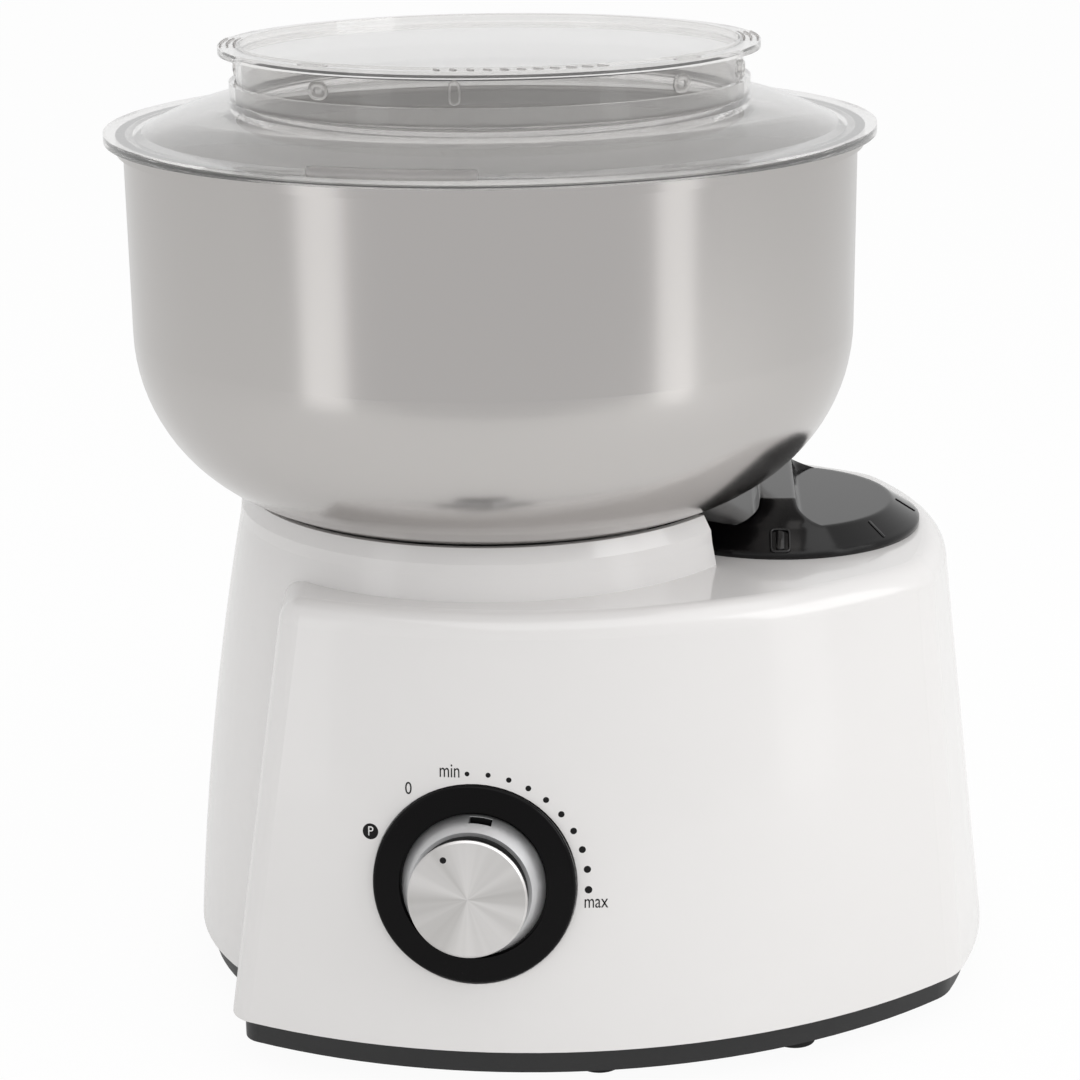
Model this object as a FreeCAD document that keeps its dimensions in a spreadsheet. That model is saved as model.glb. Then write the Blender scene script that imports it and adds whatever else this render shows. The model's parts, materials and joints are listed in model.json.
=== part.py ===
import FreeCAD, Part
import math
import os
from types import SimpleNamespace
import Sketcher
from FreeCAD import Placement, Rotation, Vector

# Stand mixer with its motor, belt and gear drive under a bowl that lifts off. Millimetres.
# +Z is up, the knob is on the -Y side, and the blender drive is on the +X side.

SIZES = {
    # Axes
    "bowl_x": -24.0,
    "motor_x": 83.6,
    # Fits
    "running_fit": 0.05,
    "seat_fit": 0.02,
    "loose_fit": 0.3,
    "overrun": 1.0,
    # Feet and base plate
    "foot_height": 9.0,
    "foot_radius": 9.5,
    "foot_sole_radius": 8.0,
    "foot_left_x": -84.0,
    "foot_left_y": 88.0,
    "foot_middle_x": 10.0,
    "foot_middle_y": 110.0,
    "foot_right_x": 83.0,
    "foot_right_y": 94.0,
    "base_thickness": 3.0,
    "base_rim_height": 13.0,
    "base_inset": 4.4,
    # Housing: the lower outline at its bottom edge, the upper one at the deck
    "housing_bottom": 19.0,
    "deck_z": 174.5,
    "wall": 3.0,
    "front_centre_x": -6.0,
    "front_axis": 96.0,
    "front_low": 138.0,
    "front_top": 117.2,
    "right_axis": 10.0,
    "right_low": 166.0,
    "right_top": 147.2,
    "left_low": -124.0,
    "left_top": -101.0,
    "corner": 26.0,
    "left_corner": 13.0,
    "deck_round": 9.5,
    "inner_round": 6.5,
    # Bowl tower with its seat
    "tower_radius_low": 120.3,
    "tower_radius_top": 98.3,
    "tower_bulge": 1280.0,
    "seat_z": 183.0,
    "seat_slope": 2.5,
    "collar_top": 192.9,
    "collar_inset": 3.3,
    "collar_width": 2.5,
    "collar_bevel_inset": 0.5,
    "collar_bevel_z": 187.5,
    "recess_radius": 66.4,
    # Screw posts of the housing
    "post_left_x": -102.0,
    "post_left_y": 66.0,
    "post_right_x": 128.0,
    "post_right_y": 60.0,
    "post_radius": 5.5,
    "screw_radius": 2.0,
    "screw_head_radius": 4.0,
    "screw_head_height": 2.5,
    "screw_length": 19.0,
    # Bowl
    "bowl_radius": 135.0,
    "bowl_wall": 1.0,
    "bowl_floor_z": 189.0,
    "bowl_corner": 66.0,
    "bowl_rim_z": 326.4,
    "rim_width": 2.5,
    "rim_height": 4.0,
    "tube_radius": 18.0,
    "tube_wall": 2.5,
    "tube_top": 250.0,
    "base_ring_inner": 24.0,
    "base_ring_radius": 40.0,
    # Splash lid and feed lid
    "lid_overhang": 6.9,
    "lid_flange": 3.2,
    "dome_inset": 7.0,
    "dome_height": 10.6,
    "dome_round": 110.0,
    "lid_wall": 2.2,
    "lid_skirt_depth": 8.0,
    "lid_skirt_gap": 0.6,
    "neck_radius": 95.7,
    "neck_height": 6.0,
    "neck_wall": 2.2,
    "ledge_width": 4.5,
    "ledge_depth": 8.6,
    "feed_overhang": 3.6,
    "feed_flange": 2.7,
    "feed_rise": 10.2,
    "feed_lip": 0.5,
    "feed_lip_width": 0.9,
    "feed_recess": 2.2,
    "feed_recess_inset": 4.2,
    "feed_skirt_gap": 0.5,
    "feed_wall": 2.0,
    # Dough hook
    "hub_radius": 24.0,
    "hub_skirt": 22.0,
    "hub_height": 48.0,
    "hub_gap": 0.6,
    "hook_radius": 6.0,
    "hook_reach": 88.0,
    "hook_top_z": 240.0,
    "hook_low_z": 200.0,
    "hook_inner": 42.0,
    "hook_bend": 15.0,
    # Drive cover
    "cover_radius": 55.3,
    "cover_edge": 2.2,
    "cover_flat_radius": 44.5,
    "cover_flat_height": 9.0,
    "cover_wall": 2.5,
    "grip_height": 7.2,
    "grip_turn": -4.5,
    "grip_top_radius": 30.0,
    "grip_end_round": 40.0,
    "grip_half_width": 9.0,
    "grip_draft": 16.0,
    "grip_flare": 8.0,
    "grip_bend_y": 33.0,
    "grip_slot_reach": 10.0,
    "grip_slot_radius": 1.6,
    "grip_slot_depth": 2.5,
    # Blender drive under the cover
    "well_radius": 36.0,
    "well_flange_radius": 40.0,
    "well_flange": 2.0,
    "well_wall": 2.0,
    "well_floor_z": 158.0,
    "well_hole_radius": 9.0,
    "coupling_radius": 14.0,
    "coupling_hub_radius": 9.5,
    "coupling_height": 8.0,
    "coupling_gap": 1.0,
    "coupling_lug": 4.0,
    "coupling_lugs": 6,
    # Knob, measured along its axis from the panel
    "knob_x": -34.3,
    "knob_z": 79.8,
    "bezel_radius": 36.0,
    "bezel_sink": 3.5,
    "bezel_proud": 1.2,
    "bezel_edge": 1.5,
    "bezel_dish_radius": 26.5,
    "bezel_dish": 0.5,
    "dial_boss_radius": 39.5,
    "dial_boss_depth": 7.0,
    "knob_base_radius": 25.6,
    "knob_front_radius": 21.6,
    "knob_skirt_front": 10.1,
    "knob_skirt_round": 22.0,
    "knob_wall": 2.0,
    "knob_core_radius": 20.3,
    "knob_face_radius": 20.9,
    "knob_face_back": 17.0,
    "knob_face": 1.5,
    "knob_face_edge": 0.7,
    "window_width": 8.0,
    "window_height": 4.2,
    "window_front": 6.2,
    "window_x": 2.8,
    "shaft_radius": 3.0,
    "shaft_hole_radius": 5.0,
    "shaft_front": 11.0,
    "shaft_depth": 10.0,
    "switch_side": 34.0,
    "switch_depth": 20.0,
    # Control board
    "board_x": 66.0,
    "board_y": -82.0,
    "board_length": 74.0,
    "board_width": 36.0,
    "board_thickness": 1.6,
    "board_post_height": 8.0,
    "board_post_radius": 3.0,
    "board_margin": 5.0,
    "heat_sink_length": 30.0,
    "heat_sink_width": 14.0,
    "heat_sink_height": 18.0,
    "heat_sink_slot": 2.0,
    "heat_sink_slots": 5,
    "heat_sink_floor": 4.5,
    "capacitor_radius": 7.0,
    "capacitor_height": 16.0,
    # Gear train
    "tooth_module": 1.5,
    "pinion_teeth": 17,
    "gear_teeth": 85,
    "pressure_angle": 20.0,
    "tooth_root": 1.25,
    "idler_angle": 60.0,
    "tooth_gap": 0.2,
    "gear_z": 53.0,
    "gear_width": 12.0,
    "pinion_extra": 1.5,
    "plate_low_z": 42.0,
    "plate_high_z": 70.0,
    "plate_thickness": 8.0,
    "plate_margin": 10.0,
    "leg_radius": 5.0,
    "leg_left_x": -86.0,
    "leg_left_y": -44.0,
    "leg_front_x": 18.0,
    "leg_front_y": -64.0,
    "leg_back_x": -38.0,
    "leg_back_y": 95.0,
    "spindle_radius": 7.0,
    "spindle_hex": 5.5,
    "spindle_hex_z": 250.0,
    "spindle_top": 272.0,
    "spindle_bearing_radius": 14.0,
    "bush_radius": 11.0,
    "bush_length": 18.0,
    "bush_boss_radius": 15.0,
    "seal_radius": 13.0,
    "seal_height": 3.0,
    "idler_radius": 5.0,
    "idler_bearing_radius": 11.0,
    "idler_bush_radius": 8.0,
    "idler_bush_height": 6.0,
    "idler_seat_depth": 1.0,
    "idler_boss_radius": 11.0,
    "shaft_end": 1.0,
    # Belt and pulleys
    "belt_z": 20.0,
    "belt_width": 14.0,
    "belt_thickness": 2.0,
    "belt_gap": 0.15,
    "motor_pulley_radius": 10.8,
    "pulley_flange": 2.4,
    "pulley_flange_height": 1.5,
    "large_pulley_radius": 47.8,
    "large_pulley_rim": 4.5,
    "large_pulley_web": 4.0,
    "large_pulley_hub": 11.0,
    # Motor
    "motor_shaft_radius": 4.0,
    "motor_shaft_end": 4.0,
    "motor_bearing_radius": 11.0,
    "motor_bearing_height": 7.0,
    "bracket_low_z": 40.0,
    "bracket_high_z": 138.0,
    "bracket_thickness": 6.0,
    "bracket_half_width": 8.0,
    "bracket_boss_radius": 14.0,
    "bracket_disc_radius": 33.0,
    "mount_y": 50.0,
    "mount_boss_radius": 6.0,
    "mount_rubber_height": 4.0,
    "mount_screw_length": 12.0,
    "motor_bolt_y": 37.0,
    "motor_bolt_radius": 2.0,
    "sleeve_radius": 3.3,
    "stator_z": 70.0,
    "stator_height": 38.0,
    "stator_radius": 40.5,
    "stator_window": 33.8,
    "pole_half_width": 18.0,
    "coil_gap": 0.3,
    "coil_overhang": 8.0,
    "coil_inner_radius": 22.4,
    "armature_radius": 20.0,
    "air_gap": 0.6,
    "winding_radius": 17.0,
    "winding_length": 7.0,
    "commutator_radius": 11.2,
    "commutator_z": 118.0,
    "commutator_height": 14.0,
    "fan_radius": 31.0,
    "fan_z": 49.0,
    "fan_height": 11.0,
    "fan_disc": 1.5,
    "fan_hub_radius": 9.0,
    "fan_blade": 1.5,
    "fan_blades": 10,
    "brush_half_width": 3.5,
    "brush_length": 16.0,
    "brush_gap": 0.2,
    "holder_wall": 2.5,
    "holder_inner": 13.5,
    "holder_length": 19.0,
    # Cord inlet at the back
    "grommet_x": -6.0,
    "grommet_z": 44.0,
    "grommet_radius": 8.0,
    "grommet_bore": 3.8,
    "grommet_flange": 2.5,
    "grommet_flange_thickness": 2.0,
    "sleeve_root_radius": 6.6,
    "sleeve_tip_radius": 5.2,
    "sleeve_reach": 15.0,
}


class Dim:
    """A size that carries its number and the formula that gives it from the sheet."""

    def __init__(self, number, formula):
        self.number = number
        self.formula = formula

    def joined(self, other, sign, number):
        return Dim(number, f"({self.formula} {sign} {dim(other).formula})")

    def __add__(self, other):
        return self.joined(other, "+", self.number + dim(other).number)

    def __sub__(self, other):
        return self.joined(other, "-", self.number - dim(other).number)

    def __mul__(self, other):
        return self.joined(other, "*", self.number * dim(other).number)

    def __truediv__(self, other):
        return self.joined(other, "/", self.number / dim(other).number)

    def __rsub__(self, other):
        return dim(other) - self

    def __neg__(self):
        return dim(0) - self

    __radd__ = __add__
    __rmul__ = __mul__


def dim(value):
    """Gives a plain number the form of a size."""
    return value if isinstance(value, Dim) else Dim(value, repr(value))


doc = FreeCAD.newDocument("stand_mixer")
sheet = doc.addObject("Spreadsheet::Sheet", "sizes")
for row, (alias, value) in enumerate(SIZES.items(), start=1):
    sheet.set(f"A{row}", alias)
    sheet.set(f"B{row}", str(value))
    sheet.setAlias(f"B{row}", alias)
doc.recompute()
S = SimpleNamespace(**{alias: Dim(value, f"sizes.{alias}") for alias, value in SIZES.items()})
ZERO = dim(0)
nodes = {}


def bind(item, prop, size):
    """Sets a property to a size and ties it to the sheet."""
    item.setExpression(prop, dim(size).formula)


def place(item, x=ZERO, y=ZERO, z=ZERO, turn=None):
    """Moves an upright object, turns it about its own axis where asked, and ties both to the sheet."""
    if turn:
        bind(item, "Placement.Rotation.Angle", turn)
    for axis, size in zip("xyz", (x, y, z)):
        bind(item, f"Placement.Base.{axis}", size)
    return item


def keep(label, item):
    """Marks a finished piece, whose label names its file."""
    item.Label = label
    nodes[label] = item
    return item


# Sketches


def new_sketch(body, role, name, level=ZERO):
    """Adds a sketch on one of the body's own planes, raised to a level along its normal."""
    sketch = body.newObject("Sketcher::SketchObject", name)
    plane = next(item for item in body.Origin.OriginFeatures if item.Role == role)
    sketch.AttachmentSupport = [(plane, "")]
    sketch.MapMode = "FlatFace"
    bind(sketch, "AttachmentOffset.Base.z", level)
    return sketch


def fix_size(sketch, kind, *where):
    """Adds a constraint whose last entry is a size, tied to the sheet."""
    size = dim(where[-1])
    index = sketch.addConstraint(Sketcher.Constraint(kind, *where[:-1], size.number))
    sketch.setExpression(f"Constraints[{index}]", size.formula)


def fix_point(sketch, edge, end, x, y):
    """Holds a point of an edge at a place from the sketch's origin."""
    fix_size(sketch, "DistanceX", -1, 1, edge, end, x)
    fix_size(sketch, "DistanceY", -1, 1, edge, end, y)


def arc_between(start, end, radius, side):
    """A short arc from start to end, bulging to the left of the way for side 1 and to the right for -1."""
    middle = (start + end) * 0.5
    chord = end - start
    left = Vector(-chord.y, chord.x, 0).normalize()
    sagitta = radius - math.sqrt(radius ** 2 - (chord.Length / 2) ** 2)
    return Part.Arc(start, middle + left * (side * sagitta), end)


def draw_outline(sketch, points):
    """Draws a closed outline through points (x, y); (x, y, radius, side) is reached along an arc."""
    first = sketch.GeometryCount
    count = len(points)
    ends = []
    for index, point in enumerate(points):
        start = Vector(dim(points[index - 1][0]).number, dim(points[index - 1][1]).number, 0)
        end = Vector(dim(point[0]).number, dim(point[1]).number, 0)
        if len(point) == 2:
            edge = sketch.addGeometry(Part.LineSegment(start, end))
        else:
            edge = sketch.addGeometry(arc_between(start, end, dim(point[2]).number, point[3]))
        first_gap = sketch.getPoint(edge, 1).distanceToPoint(start)
        second_gap = sketch.getPoint(edge, 2).distanceToPoint(start)
        forward = first_gap < second_gap
        ends.append((1, 2) if forward else (2, 1))
    for index, point in enumerate(points):
        after = (index + 1) % count
        edge = first + index
        join = Sketcher.Constraint("Coincident", edge, ends[index][1], first + after, ends[after][0])
        sketch.addConstraint(join)
        fix_point(sketch, edge, ends[index][1], point[0], point[1])
        if len(point) > 2:
            fix_size(sketch, "Radius", edge, point[2])


def draw_circle(sketch, x, y, radius):
    """Draws a circle in a sketch."""
    centre = Vector(dim(x).number, dim(y).number, 0)
    edge = sketch.addGeometry(Part.Circle(centre, Vector(0, 0, 1), dim(radius).number))
    fix_point(sketch, edge, 3, x, y)
    fix_size(sketch, "Radius", edge, radius)


def draw_ring(sketch, edges):
    """Draws a closed run of arcs and lines that meet smoothly."""
    first = sketch.GeometryCount
    for edge in edges:
        sketch.addGeometry(edge)
    for index in range(len(edges)):
        after = first + (index + 1) % len(edges)
        sketch.addConstraint(Sketcher.Constraint("Tangent", first + index, 2, after, 1))
    return first


def draw_hull(sketch, discs):
    """Draws the outline of a tight band around discs (x, y, radius), given counter-clockwise."""
    centres = [Vector(dim(x).number, dim(y).number, 0) for x, y, radius in discs]
    radii = [dim(radius).number for x, y, radius in discs]
    normals = []
    for index, centre in enumerate(centres):
        after = (index + 1) % len(discs)
        way = centres[after] - centre
        lean = (radii[index] - radii[after]) / way.Length
        way.normalize()
        normals.append(way * lean + Vector(way.y, -way.x, 0) * math.sqrt(1 - lean ** 2))
    edges = []
    for index, centre in enumerate(centres):
        after = (index + 1) % len(discs)
        start = math.atan2(normals[index - 1].y, normals[index - 1].x)
        end = math.atan2(normals[index].y, normals[index].x)
        if end < start:
            end += 2 * math.pi
        edges.append(Part.ArcOfCircle(Part.Circle(centre, Vector(0, 0, 1), radii[index]), start, end))
        edges.append(Part.LineSegment(centre + normals[index] * radii[index],
                                      centres[after] + normals[index] * radii[after]))
    first = draw_ring(sketch, edges)
    for index, (x, y, radius) in enumerate(discs):
        fix_point(sketch, first + 2 * index, 3, x, y)
        fix_size(sketch, "Radius", first + 2 * index, radius)


# Bodies and solids


def new_body(name):
    return doc.addObject("PartDesign::Body", name)


def turned(name, points, x=ZERO, y=ZERO):
    """A piece turned about an upright axis at (x, y), from its outline in radius and height."""
    body = new_body(name)
    sketch = new_sketch(body, "XZ_Plane", f"{name}_outline")
    draw_outline(sketch, points)
    turn = body.newObject("PartDesign::Revolution", f"{name}_turn")
    turn.Profile = sketch
    turn.ReferenceAxis = (sketch, ["V_Axis"])
    turn.Angle = 360
    return place(body, x, y)


def washer(name, inner, outer, low, height, x=ZERO, y=ZERO):
    """A plain ring about an upright axis."""
    return turned(name, [(inner, low), (outer, low), (outer, low + height), (inner, low + height)], x, y)


def spindle_rod(name, radius, low, height, x=ZERO, y=ZERO):
    """A plain round bar about an upright axis."""
    return turned(name, [(ZERO, low), (radius, low), (radius, low + height), (ZERO, low + height)], x, y)


def raised(name, sketch, height):
    """Pads a sketch of a body upwards."""
    body = sketch.getParentGeoFeatureGroup()
    pad = body.newObject("PartDesign::Pad", f"{name}_pad")
    pad.Profile = sketch
    bind(pad, "Length", height)
    return body


def cylinder(name, radius, height, x=ZERO, y=ZERO, z=ZERO):
    item = doc.addObject("Part::Cylinder", name)
    bind(item, "Radius", radius)
    bind(item, "Height", height)
    return place(item, x, y, z)


def block(name, length, width, height, x=ZERO, y=ZERO, z=ZERO):
    """A box centred on (x, y) that stands on z."""
    item = doc.addObject("Part::Box", name)
    bind(item, "Length", length)
    bind(item, "Width", width)
    bind(item, "Height", height)
    return place(item, x - length / 2, y - width / 2, z)


def cut(name, base, *tools):
    item = doc.addObject("Part::Cut", name)
    item.Base = base
    item.Tool = tools[0] if len(tools) == 1 else fuse(f"{name}_tools", *tools)
    return item


def fuse(name, *pieces):
    item = doc.addObject("Part::MultiFuse", name)
    item.Shapes = list(pieces)
    return item


def common(name, *pieces):
    item = doc.addObject("Part::MultiCommon", name)
    item.Shapes = list(pieces)
    return item


def group(name, *pieces):
    """Keeps like pieces as separate solids of one node."""
    item = doc.addObject("Part::Compound", name)
    item.Links = list(pieces)
    return item


# Housing outline


def housing_block(name, low, top, ends, inset, rounding=None):
    """The wide lower part of the housing as a solid: bowed walls that lean in, with rounded corners."""
    def wall_at(axis, word):
        return [axis + getattr(S, f"{word}_{end}") - inset for end in ends]

    def bowed(side, radii, x, y):
        return turned(f"{name}_{side}", [(ZERO, low), (radii[0], low), (radii[1], top), (ZERO, top)], x, y)

    front = wall_at(S.front_axis, "front")
    right = wall_at(S.right_axis, "right")
    left = [getattr(S, f"left_{end}") + inset for end in ends]
    body = new_body(name)
    sketch = new_sketch(body, "XZ_Plane", f"{name}_side", -2 * S.front_low)
    draw_outline(sketch, [(left[0], low), (2 * S.right_low, low), (2 * S.right_low, top), (left[1], top)])
    raised(f"{name}_slab", sketch, 4 * S.front_low)
    for wall in (bowed("front", front, S.front_centre_x, S.front_axis),
                 bowed("back", front, S.front_centre_x, -S.front_axis),
                 bowed("right", right, -S.right_axis, ZERO)):
        tip = body.newObject("PartDesign::Boolean", f"{wall.Name}_wall")
        tip.Type = "Common"
        tip.addObjects([wall])
    doc.recompute()
    for side, radius in (("left", S.left_corner), ("right", S.corner)):
        upright = [f"Edge{index}" for index, edge in enumerate(tip.Shape.Edges, start=1)
                   if edge.BoundBox.ZLength > (top.number - low.number) * 0.9
                   and abs(edge.CenterOfMass.y) > S.corner.number
                   and (edge.CenterOfMass.x > 0) == (side == "right")]
        tip = rounded(body, f"{name}_{side}_corners", tip, upright, radius - inset)
    if rounding:
        heights = [face.CenterOfMass.z for face in tip.Shape.Faces]
        rounded(body, f"{name}_edge", tip, [f"Face{heights.index(max(heights)) + 1}"], rounding)
    return body


def rounded(body, name, tip, edges, radius):
    """Rounds edges of a body's last feature."""
    fillet = body.newObject("PartDesign::Fillet", name)
    fillet.Base = (tip, edges)
    bind(fillet, "Radius", radius)
    doc.recompute()
    return fillet


# The panel where the knob sits, and its outward direction
rise = (S.knob_z.number - S.housing_bottom.number) / (S.deck_z.number - S.housing_bottom.number)
panel_radius = S.front_axis.number + S.front_low.number + rise * (S.front_top.number - S.front_low.number)
knob_side = S.knob_x.number - S.front_centre_x.number
knob_y = S.front_axis.number - math.sqrt(panel_radius ** 2 - knob_side ** 2)
panel_lean = math.atan2(S.front_low.number - S.front_top.number, S.deck_z.number - S.housing_bottom.number)
panel_turn = math.asin(knob_side / panel_radius)
knob_axis = Vector(math.sin(panel_turn) * math.cos(panel_lean), -math.cos(panel_turn) * math.cos(panel_lean),
                   math.sin(panel_lean))
knob_right = Vector(math.cos(panel_turn), math.sin(panel_turn), 0)
knob_up = knob_axis.cross(knob_right)
knob_place = Placement(Vector(S.knob_x.number, knob_y, S.knob_z.number),
                       Rotation(knob_right, knob_up, knob_axis))
grommet_rise = (S.grommet_z.number - S.housing_bottom.number) / (S.deck_z.number - S.housing_bottom.number)
grommet_y = S.front_low.number + grommet_rise * (S.front_top.number - S.front_low.number)
grommet_axis = Vector(0, math.cos(panel_lean), math.sin(panel_lean))
grommet_place = Placement(Vector(S.grommet_x.number, grommet_y, S.grommet_z.number),
                          Rotation(Vector(0, 0, 1), grommet_axis))
# The idler shaft stands where its pinion meets the output gear.
centre_distance = S.tooth_module * (S.pinion_teeth + S.gear_teeth) / 2
idler_x = S.bowl_x + centre_distance * math.cos(math.radians(S.idler_angle.number))
idler_y = centre_distance * math.sin(math.radians(S.idler_angle.number))
base_floor = S.foot_height + S.base_thickness
idler_seat = base_floor - S.idler_seat_depth
seat_underside = S.seat_z - S.wall
deck_underside = S.deck_z - S.wall
LEGS = [(S.leg_left_x, S.leg_left_y), (S.leg_front_x, S.leg_front_y), (S.leg_back_x, S.leg_back_y)]
POSTS = [(S.post_left_x, S.post_left_y), (S.post_left_x, -S.post_left_y),
         (S.post_right_x, S.post_right_y), (S.post_right_x, -S.post_right_y)]
MOUNTS = [(S.motor_x, S.mount_y), (S.motor_x, -S.mount_y)]


def stood(item, placement):
    """Puts a piece that is made upright on Z at another place and tilt."""
    for axis in "xyz":
        item.setExpression(f"Placement.Base.{axis}", None)
    item.Placement = placement
    return item


def at_knob(item):
    """Stands a piece on the panel, along the knob's axis."""
    return stood(item, knob_place)


def at_grommet(item):
    """Stands a piece in the back wall, along the cord's way out."""
    return stood(item, grommet_place)


def upper_housing():
    """White shell: the block under the deck and the bowl's tower, hollow, with its posts and openings."""
    below = S.housing_bottom - S.overrun
    collar = S.tower_radius_top - S.collar_inset
    shell = fuse("shell_outside",
                 housing_block("block_outside", S.housing_bottom, S.deck_z, ("low", "top"), ZERO, S.deck_round),
                 turned("tower_outside", [
                     (ZERO, S.housing_bottom), (S.tower_radius_low, S.housing_bottom),
                     (S.tower_radius_top, S.seat_z, S.tower_bulge, -1),
                     (S.tower_radius_top - S.collar_bevel_inset, S.collar_bevel_z),
                     (collar, S.collar_top), (collar - S.collar_width, S.collar_top),
                     (collar - S.collar_width - S.seat_slope, S.seat_z), (ZERO, S.seat_z)], S.bowl_x))
    above = S.collar_top - S.deck_z + S.overrun
    shell = cut("shell", shell, cylinder("recess", S.recess_radius, above, S.motor_x, ZERO, S.deck_z))
    hollow = fuse("hollow_blank",
                  housing_block("block_inside", below, deck_underside, ("low", "top"), S.wall, S.inner_round),
                  turned("tower_inside", [
                      (ZERO, below), (S.tower_radius_low - S.wall, below),
                      (S.tower_radius_top - S.wall, seat_underside, S.tower_bulge, -1), (ZERO, seat_underside)],
                         S.bowl_x))
    posts = [cylinder(f"post_{index}", S.post_radius, S.deck_z, x, y, base_floor)
             for index, (x, y) in enumerate(POSTS)]
    post_feet = [cylinder(f"post_foot_{index}", S.post_radius, 2 * S.base_rim_height, x, y, base_floor)
                 for index, (x, y) in enumerate(POSTS)]
    dial = at_knob(turned("dial_boss", [(ZERO, -S.dial_boss_depth), (S.dial_boss_radius, -S.dial_boss_depth),
                                        (S.dial_boss_radius, S.bezel_proud), (ZERO, S.bezel_proud)]))
    bush = cylinder("bush_boss", S.bush_boss_radius, S.bush_length, S.bowl_x, ZERO, S.seat_z - S.bush_length)
    recess_wall = cylinder("recess_wall", S.recess_radius + S.wall, above, S.motor_x, ZERO, deck_underside)
    hollow = cut("hollow", hollow, recess_wall, dial, bush, *posts)
    pilots = [cylinder(f"pilot_{index}", S.screw_radius + S.running_fit, S.screw_length, x, y, base_floor)
              for index, (x, y) in enumerate(POSTS)]
    dial_seat = at_knob(turned("dial_seat", [
        (ZERO, -S.dial_boss_depth - S.overrun), (S.shaft_hole_radius, -S.dial_boss_depth - S.overrun),
        (S.shaft_hole_radius, -S.bezel_sink), (S.bezel_radius + S.loose_fit, -S.bezel_sink),
        (S.bezel_radius + S.loose_fit, S.bezel_radius), (ZERO, S.bezel_radius)]))
    bush_bore = cylinder("bush_bore", S.bush_radius + S.seat_fit, S.bush_length + 2 * S.overrun, S.bowl_x, ZERO,
                         S.seat_z - S.bush_length - S.overrun)
    well = cylinder("well_bore", S.well_radius + S.seat_fit, S.wall + 2 * S.overrun, S.motor_x, ZERO,
                    deck_underside - S.overrun)
    inlet = at_grommet(turned("inlet_bore", [
        (ZERO, -3 * S.wall), (S.grommet_radius + S.seat_fit, -3 * S.wall),
        (S.grommet_radius + S.seat_fit, 3 * S.wall), (ZERO, 3 * S.wall)]))
    walls = fuse("housing_walls", cut("housing_hollowed", shell, hollow), *post_feet)
    keep("upper_housing", cut("upper_housing", walls, dial_seat, bush_bore, well, inlet, *pilots))


def base_plate():
    """Black pan that closes the housing from below, with the bosses that carry the drive."""
    def pan(name, low, height, inset):
        wide = housing_block(f"{name}_block", low, low + height, ("low", "low"), inset)
        tower = cylinder(f"{name}_round", S.tower_radius_low - inset, height, S.bowl_x, ZERO, low)
        return fuse(name, wide, tower)

    tray = cut("tray", pan("pan_outside", S.foot_height, S.base_rim_height, S.base_inset),
               pan("pan_inside", base_floor, S.base_rim_height, S.base_inset + S.wall))
    mount_top = S.bracket_low_z - S.mount_rubber_height
    bosses = [cylinder(f"mount_boss_{index}", S.mount_boss_radius, mount_top - S.foot_height, x, y,
                       S.foot_height) for index, (x, y) in enumerate(MOUNTS)]
    post_height = S.base_thickness + S.board_post_height
    bosses += [cylinder(f"board_post_{index}", S.board_post_radius, post_height, x, y, S.foot_height)
               for index, (x, y) in enumerate(board_corners())]
    bosses.append(cylinder("idler_boss", S.idler_boss_radius, idler_seat + S.idler_bush_height - S.foot_height,
                           idler_x, idler_y, S.foot_height))
    holes = [cylinder(f"base_hole_{index}", S.screw_radius + S.loose_fit, 3 * S.base_thickness, x, y,
                      S.foot_height - S.base_thickness) for index, (x, y) in enumerate(POSTS)]
    holes += [cylinder(f"mount_hole_{index}", S.screw_radius + S.running_fit, mount_top, x, y,
                       mount_top - S.mount_screw_length) for index, (x, y) in enumerate(MOUNTS)]
    holes.append(cylinder("idler_socket", S.idler_bush_radius + S.seat_fit, S.idler_bush_height + S.overrun,
                          idler_x, idler_y, idler_seat))
    keep("base_plate", cut("base_plate", fuse("base_solid", tray, *bosses), *holes))


def feet_and_screws():
    """Rubber feet under the pan, and the screws that hold the pan to the housing's posts."""
    places = [(x, side * y) for x, y in ((S.foot_left_x, S.foot_left_y), (S.foot_middle_x, S.foot_middle_y),
                                         (S.foot_right_x, S.foot_right_y)) for side in (1, -1)]
    feet = [turned(f"foot_{index}", [(ZERO, ZERO), (S.foot_sole_radius, ZERO), (S.foot_radius, S.foot_height),
                                     (ZERO, S.foot_height)], x, y) for index, (x, y) in enumerate(places)]
    keep("rubber_feet", group("rubber_feet", *feet))
    screws = [screw(f"housing_screw_{index}", S.foot_height, -1, S.screw_length, x, y)
              for index, (x, y) in enumerate(POSTS)]
    keep("housing_screws", group("housing_screws", *screws))


def screw(name, seat, way, length, x, y):
    """A pan-head screw: its head rests on a seat, its shank runs up for way -1 and down for way 1."""
    head = seat + way * S.screw_head_height
    tip = seat - way * length
    return turned(name, [(ZERO, tip), (S.screw_radius, tip), (S.screw_radius, seat),
                         (S.screw_head_radius, seat), (S.screw_head_radius, head), (ZERO, head)], x, y)


def cord_grommet():
    """Rubber grommet of the cord inlet: a flange each side of the back wall, and a sleeve that points out."""
    outside = S.loose_fit + S.grommet_flange_thickness
    inside = -S.wall - 2 * S.loose_fit
    wide = S.grommet_radius + S.grommet_flange
    keep("cord_grommet", at_grommet(turned("cord_grommet", [
        (S.grommet_bore, inside - S.grommet_flange_thickness), (wide, inside - S.grommet_flange_thickness),
        (wide, inside), (S.grommet_radius, inside), (S.grommet_radius, S.loose_fit), (wide, S.loose_fit),
        (wide, outside), (S.sleeve_root_radius, outside), (S.sleeve_tip_radius, S.sleeve_reach),
        (S.grommet_bore, S.sleeve_reach)])))


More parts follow.
